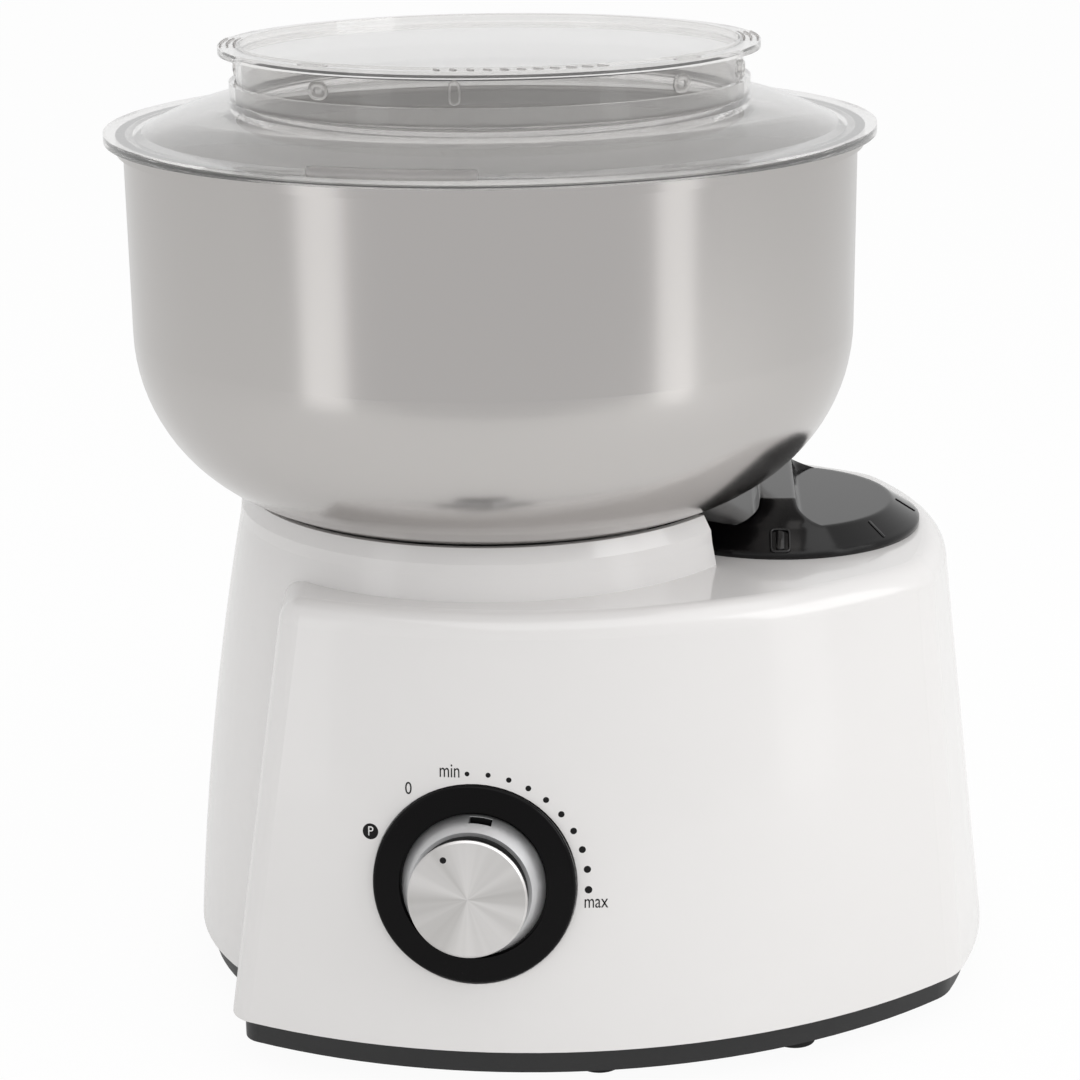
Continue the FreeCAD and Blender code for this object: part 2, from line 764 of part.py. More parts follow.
def knob():
    """Bezel sunk in the panel, chrome skirt, black core, spun face and the shaft of the switch."""
    keep("knob_bezel", at_knob(turned("knob_bezel", [
        (S.shaft_hole_radius, -S.bezel_sink), (S.bezel_radius, -S.bezel_sink),
        (S.bezel_radius, S.bezel_proud - S.bezel_edge),
        (S.bezel_radius - S.bezel_edge, S.bezel_proud, S.bezel_edge, -1),
        (S.bezel_dish_radius, S.bezel_proud), (S.bezel_dish_radius, -S.bezel_dish),
        (S.shaft_hole_radius, -S.bezel_dish)])))
    foot = S.loose_fit - S.bezel_dish
    inner = S.knob_front_radius - S.knob_wall
    skirt = turned("skirt_blank", [(inner, foot), (S.knob_base_radius, foot),
                                   (S.knob_front_radius, S.knob_skirt_front, S.knob_skirt_round, -1),
                                   (inner, S.knob_skirt_front)])
    window = block("skirt_window", S.window_width, S.knob_base_radius, S.window_height,
                   S.window_x, S.knob_base_radius / 2 + inner, S.window_front - S.window_height)
    keep("speed_knob", at_knob(cut("speed_knob", skirt, window)))
    shaft_clear = S.shaft_radius + S.seat_fit
    keep("knob_core", at_knob(turned("knob_core", [
        (shaft_clear, foot), (inner - S.seat_fit, foot), (inner - S.seat_fit, S.knob_skirt_front),
        (S.knob_core_radius, S.knob_skirt_front), (S.knob_core_radius, S.knob_face_back),
        (ZERO, S.knob_face_back), (ZERO, S.shaft_front), (shaft_clear, S.shaft_front)])))
    front = S.knob_face_back + S.knob_face
    keep("knob_face", at_knob(turned("knob_face", [
        (ZERO, S.knob_face_back), (S.knob_face_radius, S.knob_face_back),
        (S.knob_face_radius, front - S.knob_face_edge), (S.knob_face_radius - S.knob_face_edge, front),
        (ZERO, front)])))
    shaft_back = -S.dial_boss_depth - S.shaft_depth
    keep("switch_shaft", at_knob(spindle_rod("switch_shaft", S.shaft_radius, shaft_back,
                                             S.shaft_front - shaft_back)))
    case = block("switch_case", S.switch_side, S.switch_side, S.switch_depth, ZERO, ZERO,
                 -S.dial_boss_depth - S.switch_depth)
    bore = cylinder("switch_bore", S.shaft_radius + S.running_fit, S.shaft_depth + S.loose_fit + S.overrun,
                    ZERO, ZERO, shaft_back - S.loose_fit)
    keep("speed_switch", at_knob(cut("speed_switch", case, bore)))


def board_corners():
    """The places of the posts under the control board."""
    along = S.board_length / 2 - S.board_margin
    across = S.board_width / 2 - S.board_margin
    return [(S.board_x + side * along, S.board_y + way * across) for side in (1, -1) for way in (1, -1)]


def control_board():
    """Speed control: a board on four posts with a finned heat sink and a capacitor."""
    low = base_floor + S.board_post_height
    top = low + S.board_thickness
    keep("control_board", block("control_board", S.board_length, S.board_width, S.board_thickness,
                                S.board_x, S.board_y, low))
    sink_x = S.board_x - S.board_length / 4
    fin_floor = top + S.heat_sink_floor
    count = SIZES["heat_sink_slots"]
    pitch = S.heat_sink_length / (count + 1)
    slots = [block(f"fin_slot_{index}", S.heat_sink_slot, 2 * S.heat_sink_width, S.heat_sink_height,
                   sink_x + pitch * (index - (count - 1) / 2), S.board_y, fin_floor) for index in range(count)]
    sink = block("heat_sink_blank", S.heat_sink_length, S.heat_sink_width, S.heat_sink_height,
                 sink_x, S.board_y, top)
    keep("heat_sink", cut("heat_sink", sink, *slots))
    keep("capacitor", cylinder("capacitor", S.capacitor_radius, S.capacitor_height,
                               S.board_x + S.board_length / 4, S.board_y, top))


def mixing_bowl():
    """Steel bowl with a rolled rim, the tube in its middle and the ring that it stands on."""
    bend_z = S.bowl_floor_z + S.bowl_corner
    bend_x = S.bowl_radius - S.bowl_corner
    inside = S.bowl_radius - S.bowl_wall
    inner_bend = S.bowl_corner - S.bowl_wall
    hole = S.tube_radius + S.seat_fit
    floor = S.bowl_floor_z + S.bowl_wall
    keep("mixing_bowl", turned("mixing_bowl", [
        (hole, S.bowl_floor_z), (bend_x, S.bowl_floor_z), (S.bowl_radius, bend_z, S.bowl_corner, -1),
        (S.bowl_radius, S.bowl_rim_z - S.rim_height),
        (S.bowl_radius + S.rim_width, S.bowl_rim_z - S.rim_height),
        (S.bowl_radius + S.rim_width, S.bowl_rim_z), (inside, S.bowl_rim_z), (inside, bend_z),
        (bend_x, floor, inner_bend, 1), (hole, floor)], S.bowl_x))
    keep("bowl_tube", washer("bowl_tube", S.tube_radius - S.tube_wall, S.tube_radius, S.bowl_floor_z,
                             S.tube_top - S.bowl_floor_z, S.bowl_x))
    keep("bowl_base_ring", washer("bowl_base_ring", S.base_ring_inner, S.base_ring_radius, S.seat_z,
                                  S.bowl_floor_z - S.seat_z, S.bowl_x))


def lids():
    """Clear splash lid with a neck, and the feed lid that stands in the neck."""
    flange_top = S.bowl_rim_z + S.lid_flange
    dome_top = flange_top + S.dome_height
    neck_top = dome_top + S.neck_height
    neck_inside = S.neck_radius - S.neck_wall
    ledge_top = neck_top - S.ledge_depth
    ledge_under = ledge_top - S.lid_wall
    skirt_outside = S.bowl_radius - S.bowl_wall - S.lid_skirt_gap
    skirt_inside = skirt_outside - S.lid_wall
    lid_radius = S.bowl_radius + S.lid_overhang
    keep("splash_lid", turned("splash_lid", [
        (lid_radius, S.bowl_rim_z), (lid_radius, flange_top), (S.bowl_radius - S.dome_inset, flange_top),
        (S.neck_radius, dome_top, S.dome_round, -1), (S.neck_radius, neck_top), (neck_inside, neck_top),
        (neck_inside, ledge_top), (neck_inside - S.ledge_width, ledge_top),
        (neck_inside - S.ledge_width, ledge_under), (neck_inside + S.lid_wall, ledge_under),
        (skirt_inside, S.bowl_rim_z, S.dome_round, 1), (skirt_inside, S.bowl_rim_z - S.lid_skirt_depth),
        (skirt_outside, S.bowl_rim_z - S.lid_skirt_depth), (skirt_outside, S.bowl_rim_z)], S.bowl_x))
    flange_under = neck_top + S.feed_rise
    feed_top = flange_under + S.feed_flange
    plate_top = feed_top - S.feed_recess
    feed_radius = S.neck_radius + S.feed_overhang
    recess = S.neck_radius - S.feed_recess_inset
    plate_under = plate_top - S.feed_wall
    skirt = neck_inside - S.feed_skirt_gap
    keep("feed_lid", turned("feed_lid", [
        (ZERO, plate_under), (skirt - S.feed_wall, plate_under), (skirt - S.feed_wall, ledge_top),
        (skirt, ledge_top), (skirt, flange_under), (feed_radius, flange_under), (feed_radius, feed_top),
        (recess + S.feed_lip_width, feed_top), (recess + S.feed_lip_width, feed_top + S.feed_lip),
        (recess, feed_top + S.feed_lip), (recess, plate_top), (ZERO, plate_top)], S.bowl_x))


def hexagon(name, radius, low, height):
    item = doc.addObject("Part::Prism", name)
    item.Polygon = 6
    bind(item, "Circumradius", radius)
    bind(item, "Height", height)
    return place(item, S.bowl_x, ZERO, low)


def dough_hook():
    """Hub that sits over the bowl's tube on the spindle's hexagon, and two bent arms."""
    ceiling = S.tube_top + S.loose_fit
    low = ceiling - S.hub_skirt
    inner = S.tube_radius + S.hub_gap
    top = low + S.hub_height
    blank = turned("hub_blank", [(inner, low), (S.hub_radius, low), (S.hub_radius, ceiling),
                                 (inner, top), (ZERO, top), (ZERO, ceiling), (inner, ceiling)], S.bowl_x)
    socket = hexagon("hub_socket", S.spindle_hex + S.running_fit, ceiling - S.overrun,
                     S.spindle_top - ceiling + 2 * S.overrun)
    keep("hook_hub", cut("hook_hub", blank, socket))
    start = S.hub_radius.number + S.seat_fit.number
    reach = S.hook_reach.number
    bend = S.hook_bend.number
    upper = S.hook_top_z.number
    lower = S.hook_low_z.number
    slant = math.sqrt(0.5) * bend
    inner_end = S.hook_inner.number
    lines = [(Vector(start, 0, upper), Vector(reach - bend, 0, upper)),
             (Vector(reach, 0, upper - bend), Vector(reach, 0, lower + bend)),
             (Vector(reach - bend, 0, lower), Vector(inner_end, 0, lower))]
    corner_mid = [Vector(reach - bend + slant, 0, upper - bend + slant),
                  Vector(reach - bend + slant, 0, lower + bend - slant)]
    edges = []
    for index, (first, last) in enumerate(lines):
        edges.append(Part.LineSegment(first, last).toShape())
        if index < len(corner_mid):
            edges.append(Part.Arc(last, corner_mid[index], lines[index + 1][0]).toShape())
    section = Part.Wire(Part.Circle(lines[0][0], Vector(1, 0, 0), S.hook_radius.number).toShape())
    arm = Part.Wire(edges).makePipeShell([section], True, True)
    other = arm.copy()
    other.rotate(Vector(0, 0, 0), Vector(0, 0, 1), 180)
    pair = doc.addObject("Part::Feature", "hook_arms")
    pair.Shape = Part.makeCompound([arm, other])
    pair.Placement = Placement(Vector(S.bowl_x.number, 0, 0), Rotation())
    hub_room = cylinder("hook_hub_room", S.hub_radius + S.seat_fit, S.hub_skirt, S.bowl_x, ZERO, low)
    keep("hook_arms", cut("hook_arms_cut", pair, hub_room))


def drive_cover():
    """Black twist cover over the blender drive: a shallow dish with a grip bar that slopes up from its rim."""
    flat = S.deck_z + S.cover_flat_height
    under = flat - S.cover_wall
    rim_inside = S.cover_radius - S.cover_wall
    dish = turned("cover_dish", [
        (rim_inside, S.deck_z), (S.cover_radius, S.deck_z), (S.cover_radius, S.deck_z + S.cover_edge),
        (S.cover_flat_radius, flat), (ZERO, flat), (ZERO, under),
        (S.cover_flat_radius - S.cover_wall, under), (rim_inside, S.deck_z + S.cover_edge)], S.motor_x)
    top = flat + S.grip_height
    root = flat - S.cover_wall / 2
    side = S.grip_half_width
    wide = side + S.grip_flare
    bend = S.grip_bend_y
    tip = bend + S.grip_flare
    body = new_body("grip_bar")
    sketch = new_sketch(body, "XY_Plane", "grip_outline", root)
    draw_outline(sketch, [
        (wide, -S.cover_radius), (wide, -tip), (side, -bend, S.grip_flare, 1), (side, bend),
        (wide, tip, S.grip_flare, 1), (wide, S.cover_radius), (-wide, S.cover_radius), (-wide, tip),
        (-side, bend, S.grip_flare, 1), (-side, -bend), (-wide, -tip, S.grip_flare, 1),
        (-wide, -S.cover_radius)])
    bar = place(raised("grip_bar", sketch, top - root), S.motor_x, turn=S.grip_turn)
    bind(body.Tip, "TaperAngle", -S.grip_draft)
    room = turned("grip_room", [(ZERO, root), (S.cover_flat_radius, root), (S.cover_flat_radius, flat),
                                (S.grip_top_radius, top, S.grip_end_round, -1), (ZERO, top)], S.motor_x)
    grip = common("grip", bar, room)
    slots = []
    for index, way in enumerate((1, -1)):
        slot = new_body(f"grip_slot_{index}")
        outline = new_sketch(slot, "YZ_Plane", f"grip_slot_{index}_outline",
                             way * side - S.grip_slot_depth)
        level = flat + 2 * S.grip_slot_radius
        draw_hull(outline, [(-S.grip_slot_reach, level, S.grip_slot_radius),
                            (S.grip_slot_reach, level, S.grip_slot_radius)])
        slot = raised(f"grip_slot_{index}", outline, 2 * S.grip_slot_depth)
        slots.append(place(slot, S.motor_x, turn=S.grip_turn))
    keep("drive_cover", cut("drive_cover", fuse("cover_solid", dish, grip), *slots))


def blender_drive():
    """Well in the deck under the cover, and the lugged coupling on the motor's shaft."""
    outside = S.well_radius
    keep("coupling_well", turned("coupling_well", [
        (S.well_hole_radius, S.well_floor_z), (outside, S.well_floor_z), (outside, S.deck_z),
        (S.well_flange_radius, S.deck_z), (S.well_flange_radius, S.deck_z + S.well_flange),
        (outside - S.well_wall, S.deck_z + S.well_flange),
        (outside - S.well_wall, S.well_floor_z + S.well_wall),
        (S.well_hole_radius, S.well_floor_z + S.well_wall)], S.motor_x))
    low = S.well_floor_z + S.well_wall + S.coupling_gap
    hub = cylinder("coupling_hub", S.coupling_hub_radius, S.coupling_height, S.motor_x, ZERO, low)
    lugs = []
    for index in range(SIZES["coupling_lugs"]):
        lug = block(f"coupling_lug_{index}", S.coupling_radius, S.coupling_lug, S.coupling_height,
                    S.coupling_radius / 2, ZERO, low)
        turned_lug = doc.addObject("Part::Compound", f"coupling_lug_turned_{index}")
        turned_lug.Links = [lug]
        turned_lug.Placement = Placement(Vector(S.motor_x.number, 0, 0),
                                         Rotation(Vector(0, 0, 1), 360 * index / SIZES["coupling_lugs"]))
        lugs.append(turned_lug)
    bore = cylinder("coupling_bore", S.motor_shaft_radius + S.seat_fit, 2 * S.coupling_height, S.motor_x, ZERO,
                    low - S.coupling_height / 2)
    keep("blender_coupling", cut("blender_coupling", fuse("coupling_blank", hub, *lugs), bore))


# Gears and belt


# Steps along each involute flank.
FLANK_STEPS = 4


def gear_shape(teeth, bore, width, turn):
    """A spur gear on the Z axis; its first tooth points at angle turn in degrees."""
    module = S.tooth_module.number
    pitch = module * teeth / 2
    base = pitch * math.cos(math.radians(S.pressure_angle.number))
    tip = pitch + module
    root = pitch - S.tooth_root.number * module
    half = math.pi / (2 * teeth) - S.tooth_gap.number / (4 * pitch)

    def involute(radius):
        lean = math.acos(min(1.0, base / radius))
        return math.tan(lean) - lean

    def point(radius, angle):
        return Vector(radius * math.cos(angle), radius * math.sin(angle), 0)

    low = max(base, root)
    radii = [low + (tip - low) * step / FLANK_STEPS for step in range(FLANK_STEPS + 1)]
    spans = [half + involute(pitch) - involute(radius) for radius in radii]
    edges = []
    for tooth in range(teeth):
        middle = math.radians(turn) + 2 * math.pi * tooth / teeth
        rising = [point(radius, middle - span) for radius, span in zip(radii, spans)]
        falling = [point(radius, middle + span) for radius, span in zip(radii, spans)][::-1]
        if root < low:
            edges.append(Part.LineSegment(point(root, middle - spans[0]), rising[0]).toShape())
        for flank in (rising, falling):
            curve = Part.BSplineCurve()
            curve.interpolate(flank)
            edges.append(curve.toShape())
            if flank is rising:
                edges.append(Part.Arc(rising[-1], point(tip, middle), falling[0]).toShape())
        if root < low:
            edges.append(Part.LineSegment(falling[-1], point(root, middle + spans[0])).toShape())
        following = middle + 2 * math.pi / teeth
        valley = root if root < low else low
        edges.append(Part.Arc(point(valley, middle + spans[0]), point(root, (middle + following) / 2),
                              point(valley, following - spans[0])).toShape())
    face = Part.Face(Part.Wire(edges))
    hole = Part.Face(Part.Wire(Part.Circle(Vector(0, 0, 0), Vector(0, 0, 1), bore).toShape()))
    return face.cut(hole).extrude(Vector(0, 0, width))


def gear(name, teeth, bore, low, width, turn, x, y):
    item = doc.addObject("Part::Feature", name)
    item.Shape = gear_shape(teeth, bore.number, width.number, turn)
    item.Placement = Placement(Vector(x.number, y.number, low.number), Rotation())
    keep(name, item)


def gear_train():
    """Output gear on the spindle, pinion and large pulley on the idler shaft, between two plates."""
    plate_top = S.plate_high_z + S.plate_thickness
    mesh = S.idler_angle.number
    gear("output_gear", SIZES["gear_teeth"], S.spindle_radius + S.seat_fit, S.gear_z, S.gear_width, mesh,
         S.bowl_x, ZERO)
    half_tooth = 180 / SIZES["pinion_teeth"]
    gear("pinion", SIZES["pinion_teeth"], S.idler_radius + S.seat_fit, S.gear_z - S.pinion_extra,
         S.gear_width + 2 * S.pinion_extra, mesh + 180 + half_tooth, idler_x, idler_y)
    spindle_low = S.plate_low_z - S.shaft_end
    rod = spindle_rod("spindle_rod", S.spindle_radius, spindle_low, S.spindle_hex_z - spindle_low, S.bowl_x)
    hexa = hexagon("spindle_hexagon", S.spindle_hex, S.spindle_hex_z - S.overrun,
                   S.spindle_top - S.spindle_hex_z + S.overrun)
    keep("drive_spindle", fuse("drive_spindle", rod, hexa))
    idler_low = idler_seat + S.loose_fit
    idler_length = plate_top + S.shaft_end - idler_low
    keep("idler_shaft", spindle_rod("idler_shaft", S.idler_radius, idler_low, idler_length, idler_x, idler_y))
    spindle_bearings = []
    idler_bearings = []
    for level, low in (("lower", S.plate_low_z), ("upper", S.plate_high_z)):
        body = new_body(f"gear_plate_{level}")
        sketch = new_sketch(body, "XY_Plane", f"gear_plate_{level}_outline", low)
        edge = S.leg_radius + S.plate_margin / 2
        around = S.idler_bearing_radius + S.plate_margin
        draw_hull(sketch, [(S.leg_left_x, S.leg_left_y, edge), (S.leg_front_x, S.leg_front_y, edge),
                           (idler_x, idler_y, around), (S.leg_back_x, S.leg_back_y, edge)])
        draw_circle(sketch, S.bowl_x, ZERO, S.spindle_bearing_radius + S.seat_fit)
        draw_circle(sketch, idler_x, idler_y, S.idler_bearing_radius + S.seat_fit)
        for x, y in LEGS:
            draw_circle(sketch, x, y, S.screw_radius + S.running_fit)
        keep(f"gear_plate_{level}", raised(f"gear_plate_{level}", sketch, S.plate_thickness))
        spindle_bearings.append(washer(f"spindle_bearing_{level}", S.spindle_radius + S.running_fit,
                                       S.spindle_bearing_radius, low, S.plate_thickness, S.bowl_x))
        idler_bearings.append(washer(f"idler_bearing_{level}", S.idler_radius + S.running_fit,
                                     S.idler_bearing_radius, low, S.plate_thickness, idler_x, idler_y))
    keep("spindle_bearings", group("spindle_bearings", *spindle_bearings))
    keep("idler_bearings", group("idler_bearings", *idler_bearings))
    keep("idler_bush", washer("idler_bush", S.idler_radius + S.running_fit, S.idler_bush_radius, idler_seat,
                              S.idler_bush_height, idler_x, idler_y))
    keep("spindle_bush", washer("spindle_bush", S.spindle_radius + S.running_fit, S.bush_radius,
                                S.seat_z - S.bush_length, S.bush_length, S.bowl_x))
    keep("spindle_seal", washer("spindle_seal", S.spindle_radius + S.running_fit, S.seal_radius, S.seat_z,
                                S.seal_height, S.bowl_x))
    bore = S.screw_radius + S.running_fit
    between = S.plate_low_z + S.plate_thickness
    legs = [washer(f"plate_leg_{index}", bore, S.leg_radius, base_floor, S.plate_low_z - base_floor, x, y)
            for index, (x, y) in enumerate(LEGS)]
    keep("plate_legs", group("plate_legs", *legs))
    spacers = [washer(f"plate_spacer_{index}", bore, S.leg_radius, between, S.plate_high_z - between, x, y)
               for index, (x, y) in enumerate(LEGS)]
    keep("plate_spacers", group("plate_spacers", *spacers))
    screws = [screw(f"plate_screw_{index}", plate_top, 1, plate_top - base_floor, x, y)
              for index, (x, y) in enumerate(LEGS)]
    keep("plate_screws", group("plate_screws", *screws))


def belt_drive():
    """Flat belt from the flanged motor pulley to the large pulley."""
    low = S.belt_z
    top = S.belt_z + S.belt_width
    inner = S.motor_shaft_radius + S.seat_fit
    flange = S.motor_pulley_radius + S.pulley_flange
    side = S.belt_gap * 2
    keep("motor_pulley", turned("motor_pulley", [
        (inner, low - side - S.pulley_flange_height), (flange, low - side - S.pulley_flange_height),
        (flange, low - side), (S.motor_pulley_radius, low - side), (S.motor_pulley_radius, top + side),
        (flange, top + side), (flange, top + side + S.pulley_flange_height),
        (inner, top + side + S.pulley_flange_height)], S.motor_x))
    bore = S.idler_radius + S.seat_fit
    rim = S.large_pulley_radius - S.large_pulley_rim
    web = S.belt_z + (S.belt_width - S.large_pulley_web) / 2
    keep("large_pulley", turned("large_pulley", [
        (bore, low), (S.large_pulley_hub, low), (S.large_pulley_hub, web), (rim, web), (rim, low),
        (S.large_pulley_radius, low), (S.large_pulley_radius, top), (rim, top), (rim, web + S.large_pulley_web),
        (S.large_pulley_hub, web + S.large_pulley_web), (S.large_pulley_hub, top), (bore, top)],
        idler_x, idler_y))
    loops = []
    for name, gap in (("inside", S.belt_gap), ("outside", S.belt_gap + S.belt_thickness)):
        body = new_body(f"belt_{name}")
        sketch = new_sketch(body, "XY_Plane", f"belt_{name}_outline", low)
        draw_hull(sketch, [(S.motor_x, ZERO, S.motor_pulley_radius + gap),
                           (idler_x, idler_y, S.large_pulley_radius + gap)])
        loops.append(raised(f"belt_{name}", sketch, S.belt_width))
    keep("drive_belt", cut("drive_belt", loops[1], loops[0]))


def motor():
    """Upright motor: stator with two field coils, armature, commutator with brushes, fan and two brackets."""
    x = S.motor_x
    stator_top = S.stator_z + S.stator_height
    coil_low = S.stator_z - S.coil_overhang
    coil_height = S.stator_height + 2 * S.coil_overhang
    pole_bore = S.armature_radius + S.air_gap
    ring = washer("stator_ring", S.stator_window, S.stator_radius, S.stator_z, S.stator_height, x)
    pole_bar = block("pole_bar", 2 * S.stator_radius, 2 * S.pole_half_width, S.stator_height,
                     x, ZERO, S.stator_z)
    pole_room = washer("pole_room", pole_bore, S.stator_window + S.overrun, S.stator_z, S.stator_height, x)
    bolt_clear = S.motor_bolt_radius + S.running_fit
    bolts = [(x, S.motor_bolt_y), (x, -S.motor_bolt_y)]
    bolt_holes = [cylinder(f"stator_hole_{index}", bolt_clear, S.stator_height + 2 * S.overrun, bx, by,
                           S.stator_z - S.overrun) for index, (bx, by) in enumerate(bolts)]
    keep("motor_stator", cut("motor_stator", fuse("stator_solid", ring, common("poles", pole_bar, pole_room)),
                             *bolt_holes))
    coil = washer("coil_ring", S.coil_inner_radius, S.stator_window - S.coil_gap, coil_low, coil_height, x)
    pole_clear = block("pole_clear", 3 * S.stator_radius, 2 * (S.pole_half_width + S.coil_gap),
                       S.stator_height + 2 * S.coil_gap, x, ZERO, S.stator_z - S.coil_gap)
    split = block("coil_split", S.coil_overhang, 3 * S.stator_radius, 2 * coil_height, x, ZERO,
                  coil_low - S.coil_overhang)
    keep("field_coils", cut("field_coils", coil, pole_clear, split))
    shaft = S.motor_shaft_radius + S.seat_fit
    keep("armature_core", washer("armature_core", shaft, S.armature_radius, S.stator_z, S.stator_height, x))
    keep("armature_winding", group("armature_winding",
                                   washer("winding_low", shaft, S.winding_radius, S.stator_z - S.winding_length,
                                          S.winding_length, x),
                                   washer("winding_high", shaft, S.winding_radius, stator_top,
                                          S.winding_length, x)))
    keep("commutator", washer("commutator", shaft, S.commutator_radius, S.commutator_z, S.commutator_height, x))
    shaft_low = S.belt_z - S.motor_shaft_end
    shaft_top = S.well_floor_z + S.well_wall + S.coupling_gap + S.coupling_height
    keep("motor_shaft", spindle_rod("motor_shaft", S.motor_shaft_radius, shaft_low, shaft_top - shaft_low, x))
    fan_hub = washer("fan_hub", shaft, S.fan_hub_radius, S.fan_z, S.fan_height, x)
    fan_disc = washer("fan_disc", S.fan_hub_radius - S.overrun, S.fan_radius, S.fan_z, S.fan_disc, x)
    blades = []
    for index in range(SIZES["fan_blades"]):
        blade = block(f"fan_blade_{index}", S.fan_radius - S.fan_hub_radius, S.fan_blade, S.fan_height,
                      (S.fan_radius + S.fan_hub_radius) / 2 - S.fan_blade, ZERO, S.fan_z)
        turned_blade = doc.addObject("Part::Compound", f"fan_blade_turned_{index}")
        turned_blade.Links = [blade]
        turned_blade.Placement = Placement(Vector(x.number, 0, 0),
                                           Rotation(Vector(0, 0, 1), 360 * index / SIZES["fan_blades"]))
        blades.append(turned_blade)
    keep("cooling_fan", fuse("cooling_fan", fan_hub, fan_disc, *blades))
    bearings = []
    levels = (("lower", S.bracket_low_z, S.mount_y), ("upper", S.bracket_high_z, S.motor_bolt_y))
    for level, low, wide in levels:
        body = new_body(f"bracket_bar_{level}")
        sketch = new_sketch(body, "XY_Plane", f"bracket_{level}_outline", low)
        draw_hull(sketch, [(x, -wide, S.bracket_half_width), (x, wide, S.bracket_half_width)])
        bar = raised(f"bracket_bar_{level}", sketch, S.bracket_thickness)
        disc = cylinder(f"bracket_disc_{level}", S.bracket_disc_radius, S.bracket_thickness, x, ZERO, low)
        boss = cylinder(f"bracket_boss_{level}", S.bracket_boss_radius, S.motor_bearing_height, x, ZERO, low)
        holes = [cylinder(f"bracket_bore_{level}", S.motor_bearing_radius + S.seat_fit,
                          3 * S.motor_bearing_height, x, ZERO, low - S.motor_bearing_height)]
        holes += [cylinder(f"bracket_hole_{level}_{index}", bolt_clear, 3 * S.bracket_thickness, bx, by,
                           low - S.bracket_thickness) for index, (bx, by) in enumerate(bolts)]
        if level == "lower":
            holes += [cylinder(f"mount_clear_{index}", S.screw_radius + S.running_fit, 3 * S.bracket_thickness,
                               mx, my, low - S.bracket_thickness) for index, (mx, my) in enumerate(MOUNTS)]
        keep(f"motor_bracket_{level}",
             cut(f"motor_bracket_{level}", fuse(f"bracket_solid_{level}", bar, disc, boss), *holes))
        bearings.append(washer(f"motor_bearing_{level}", S.motor_shaft_radius + S.running_fit,
                               S.motor_bearing_radius, low, S.motor_bearing_height, x))
    keep("motor_bearings", group("motor_bearings", *bearings))
    upper_top = S.bracket_high_z + S.bracket_thickness
    lower_top = S.bracket_low_z + S.bracket_thickness
    long_bolts = [screw(f"motor_bolt_{index}", upper_top, 1, upper_top - S.bracket_low_z, bx, by)
                  for index, (bx, by) in enumerate(bolts)]
    keep("motor_bolts", group("motor_bolts", *long_bolts))
    sleeves = []
    for index, (bx, by) in enumerate(bolts):
        sleeves.append(washer(f"sleeve_low_{index}", bolt_clear, S.sleeve_radius, lower_top,
                              S.stator_z - lower_top, bx, by))
        sleeves.append(washer(f"sleeve_high_{index}", bolt_clear, S.sleeve_radius, stator_top,
                              S.bracket_high_z - stator_top, bx, by))
    keep("motor_sleeves", group("motor_sleeves", *sleeves))
    rubber_z = S.bracket_low_z - S.mount_rubber_height
    rubbers = [washer(f"mount_rubber_{index}", S.screw_radius + S.running_fit, S.mount_boss_radius, rubber_z,
                      S.mount_rubber_height, mx, my) for index, (mx, my) in enumerate(MOUNTS)]
    keep("mount_rubbers", group("mount_rubbers", *rubbers))
    reach = S.mount_screw_length + S.bracket_thickness
    mount_screws = [screw(f"mount_screw_{index}", lower_top, 1, reach, mx, my)
                    for index, (mx, my) in enumerate(MOUNTS)]
    keep("mount_screws", group("mount_screws", *mount_screws))
    brushes = []
    holders = []
    brush_z = S.commutator_z + S.commutator_height / 2 - S.brush_half_width
    for index, side in enumerate((1, -1)):
        start = S.commutator_radius + S.brush_gap
        middle = x + side * (start + S.brush_length / 2)
        brush = block(f"brush_{index}", S.brush_length, 2 * S.brush_half_width, 2 * S.brush_half_width,
                      middle, ZERO, brush_z)
        brushes.append(brush)
        holder_low = brush_z - S.holder_wall
        outer = block(f"holder_block_{index}", S.holder_length, 2 * (S.brush_half_width + S.holder_wall),
                      S.bracket_high_z - holder_low, x + side * (S.holder_inner + S.holder_length / 2), ZERO,
                      holder_low)
        tunnel = block(f"holder_tunnel_{index}", 2 * S.brush_length, 2 * (S.brush_half_width + S.running_fit),
                       2 * (S.brush_half_width + S.running_fit),
                       x + side * (start + S.brush_length - S.holder_wall), ZERO, brush_z - S.running_fit)
        holders.append(cut(f"holder_{index}", outer, tunnel))
    keep("carbon_brushes", group("carbon_brushes", *brushes))
    keep("brush_holders", group("brush_holders", *holders))


upper_housing()
base_plate()
feet_and_screws()
cord_grommet()
knob()
control_board()
mixing_bowl()
lids()
dough_hook()
drive_cover()
blender_drive()
gear_train()
belt_drive()
motor()
doc.recompute()

for item in doc.Objects:
    if "Invalid" in item.State or "Error" in item.State:
        raise RuntimeError(f"{item.Name} failed: {item.State}")
for label, item in nodes.items():
    if item.Shape.isNull() or not item.Shape.isValid() or not item.Shape.Solids:
        raise RuntimeError(f"{label} has no valid solid")

os.makedirs("parts", exist_ok=True)
for label, item in nodes.items():
    item.Shape.exportStep(f"parts/{label}.step")
print(f"{len(nodes)} pieces written")
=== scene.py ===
"""Looks of a bench-top stand mixer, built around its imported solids, in metres and degrees."""

import json
import math

import bmesh
import bpy
from mathutils import Matrix, Vector
from mathutils.bvhtree import BVHTree


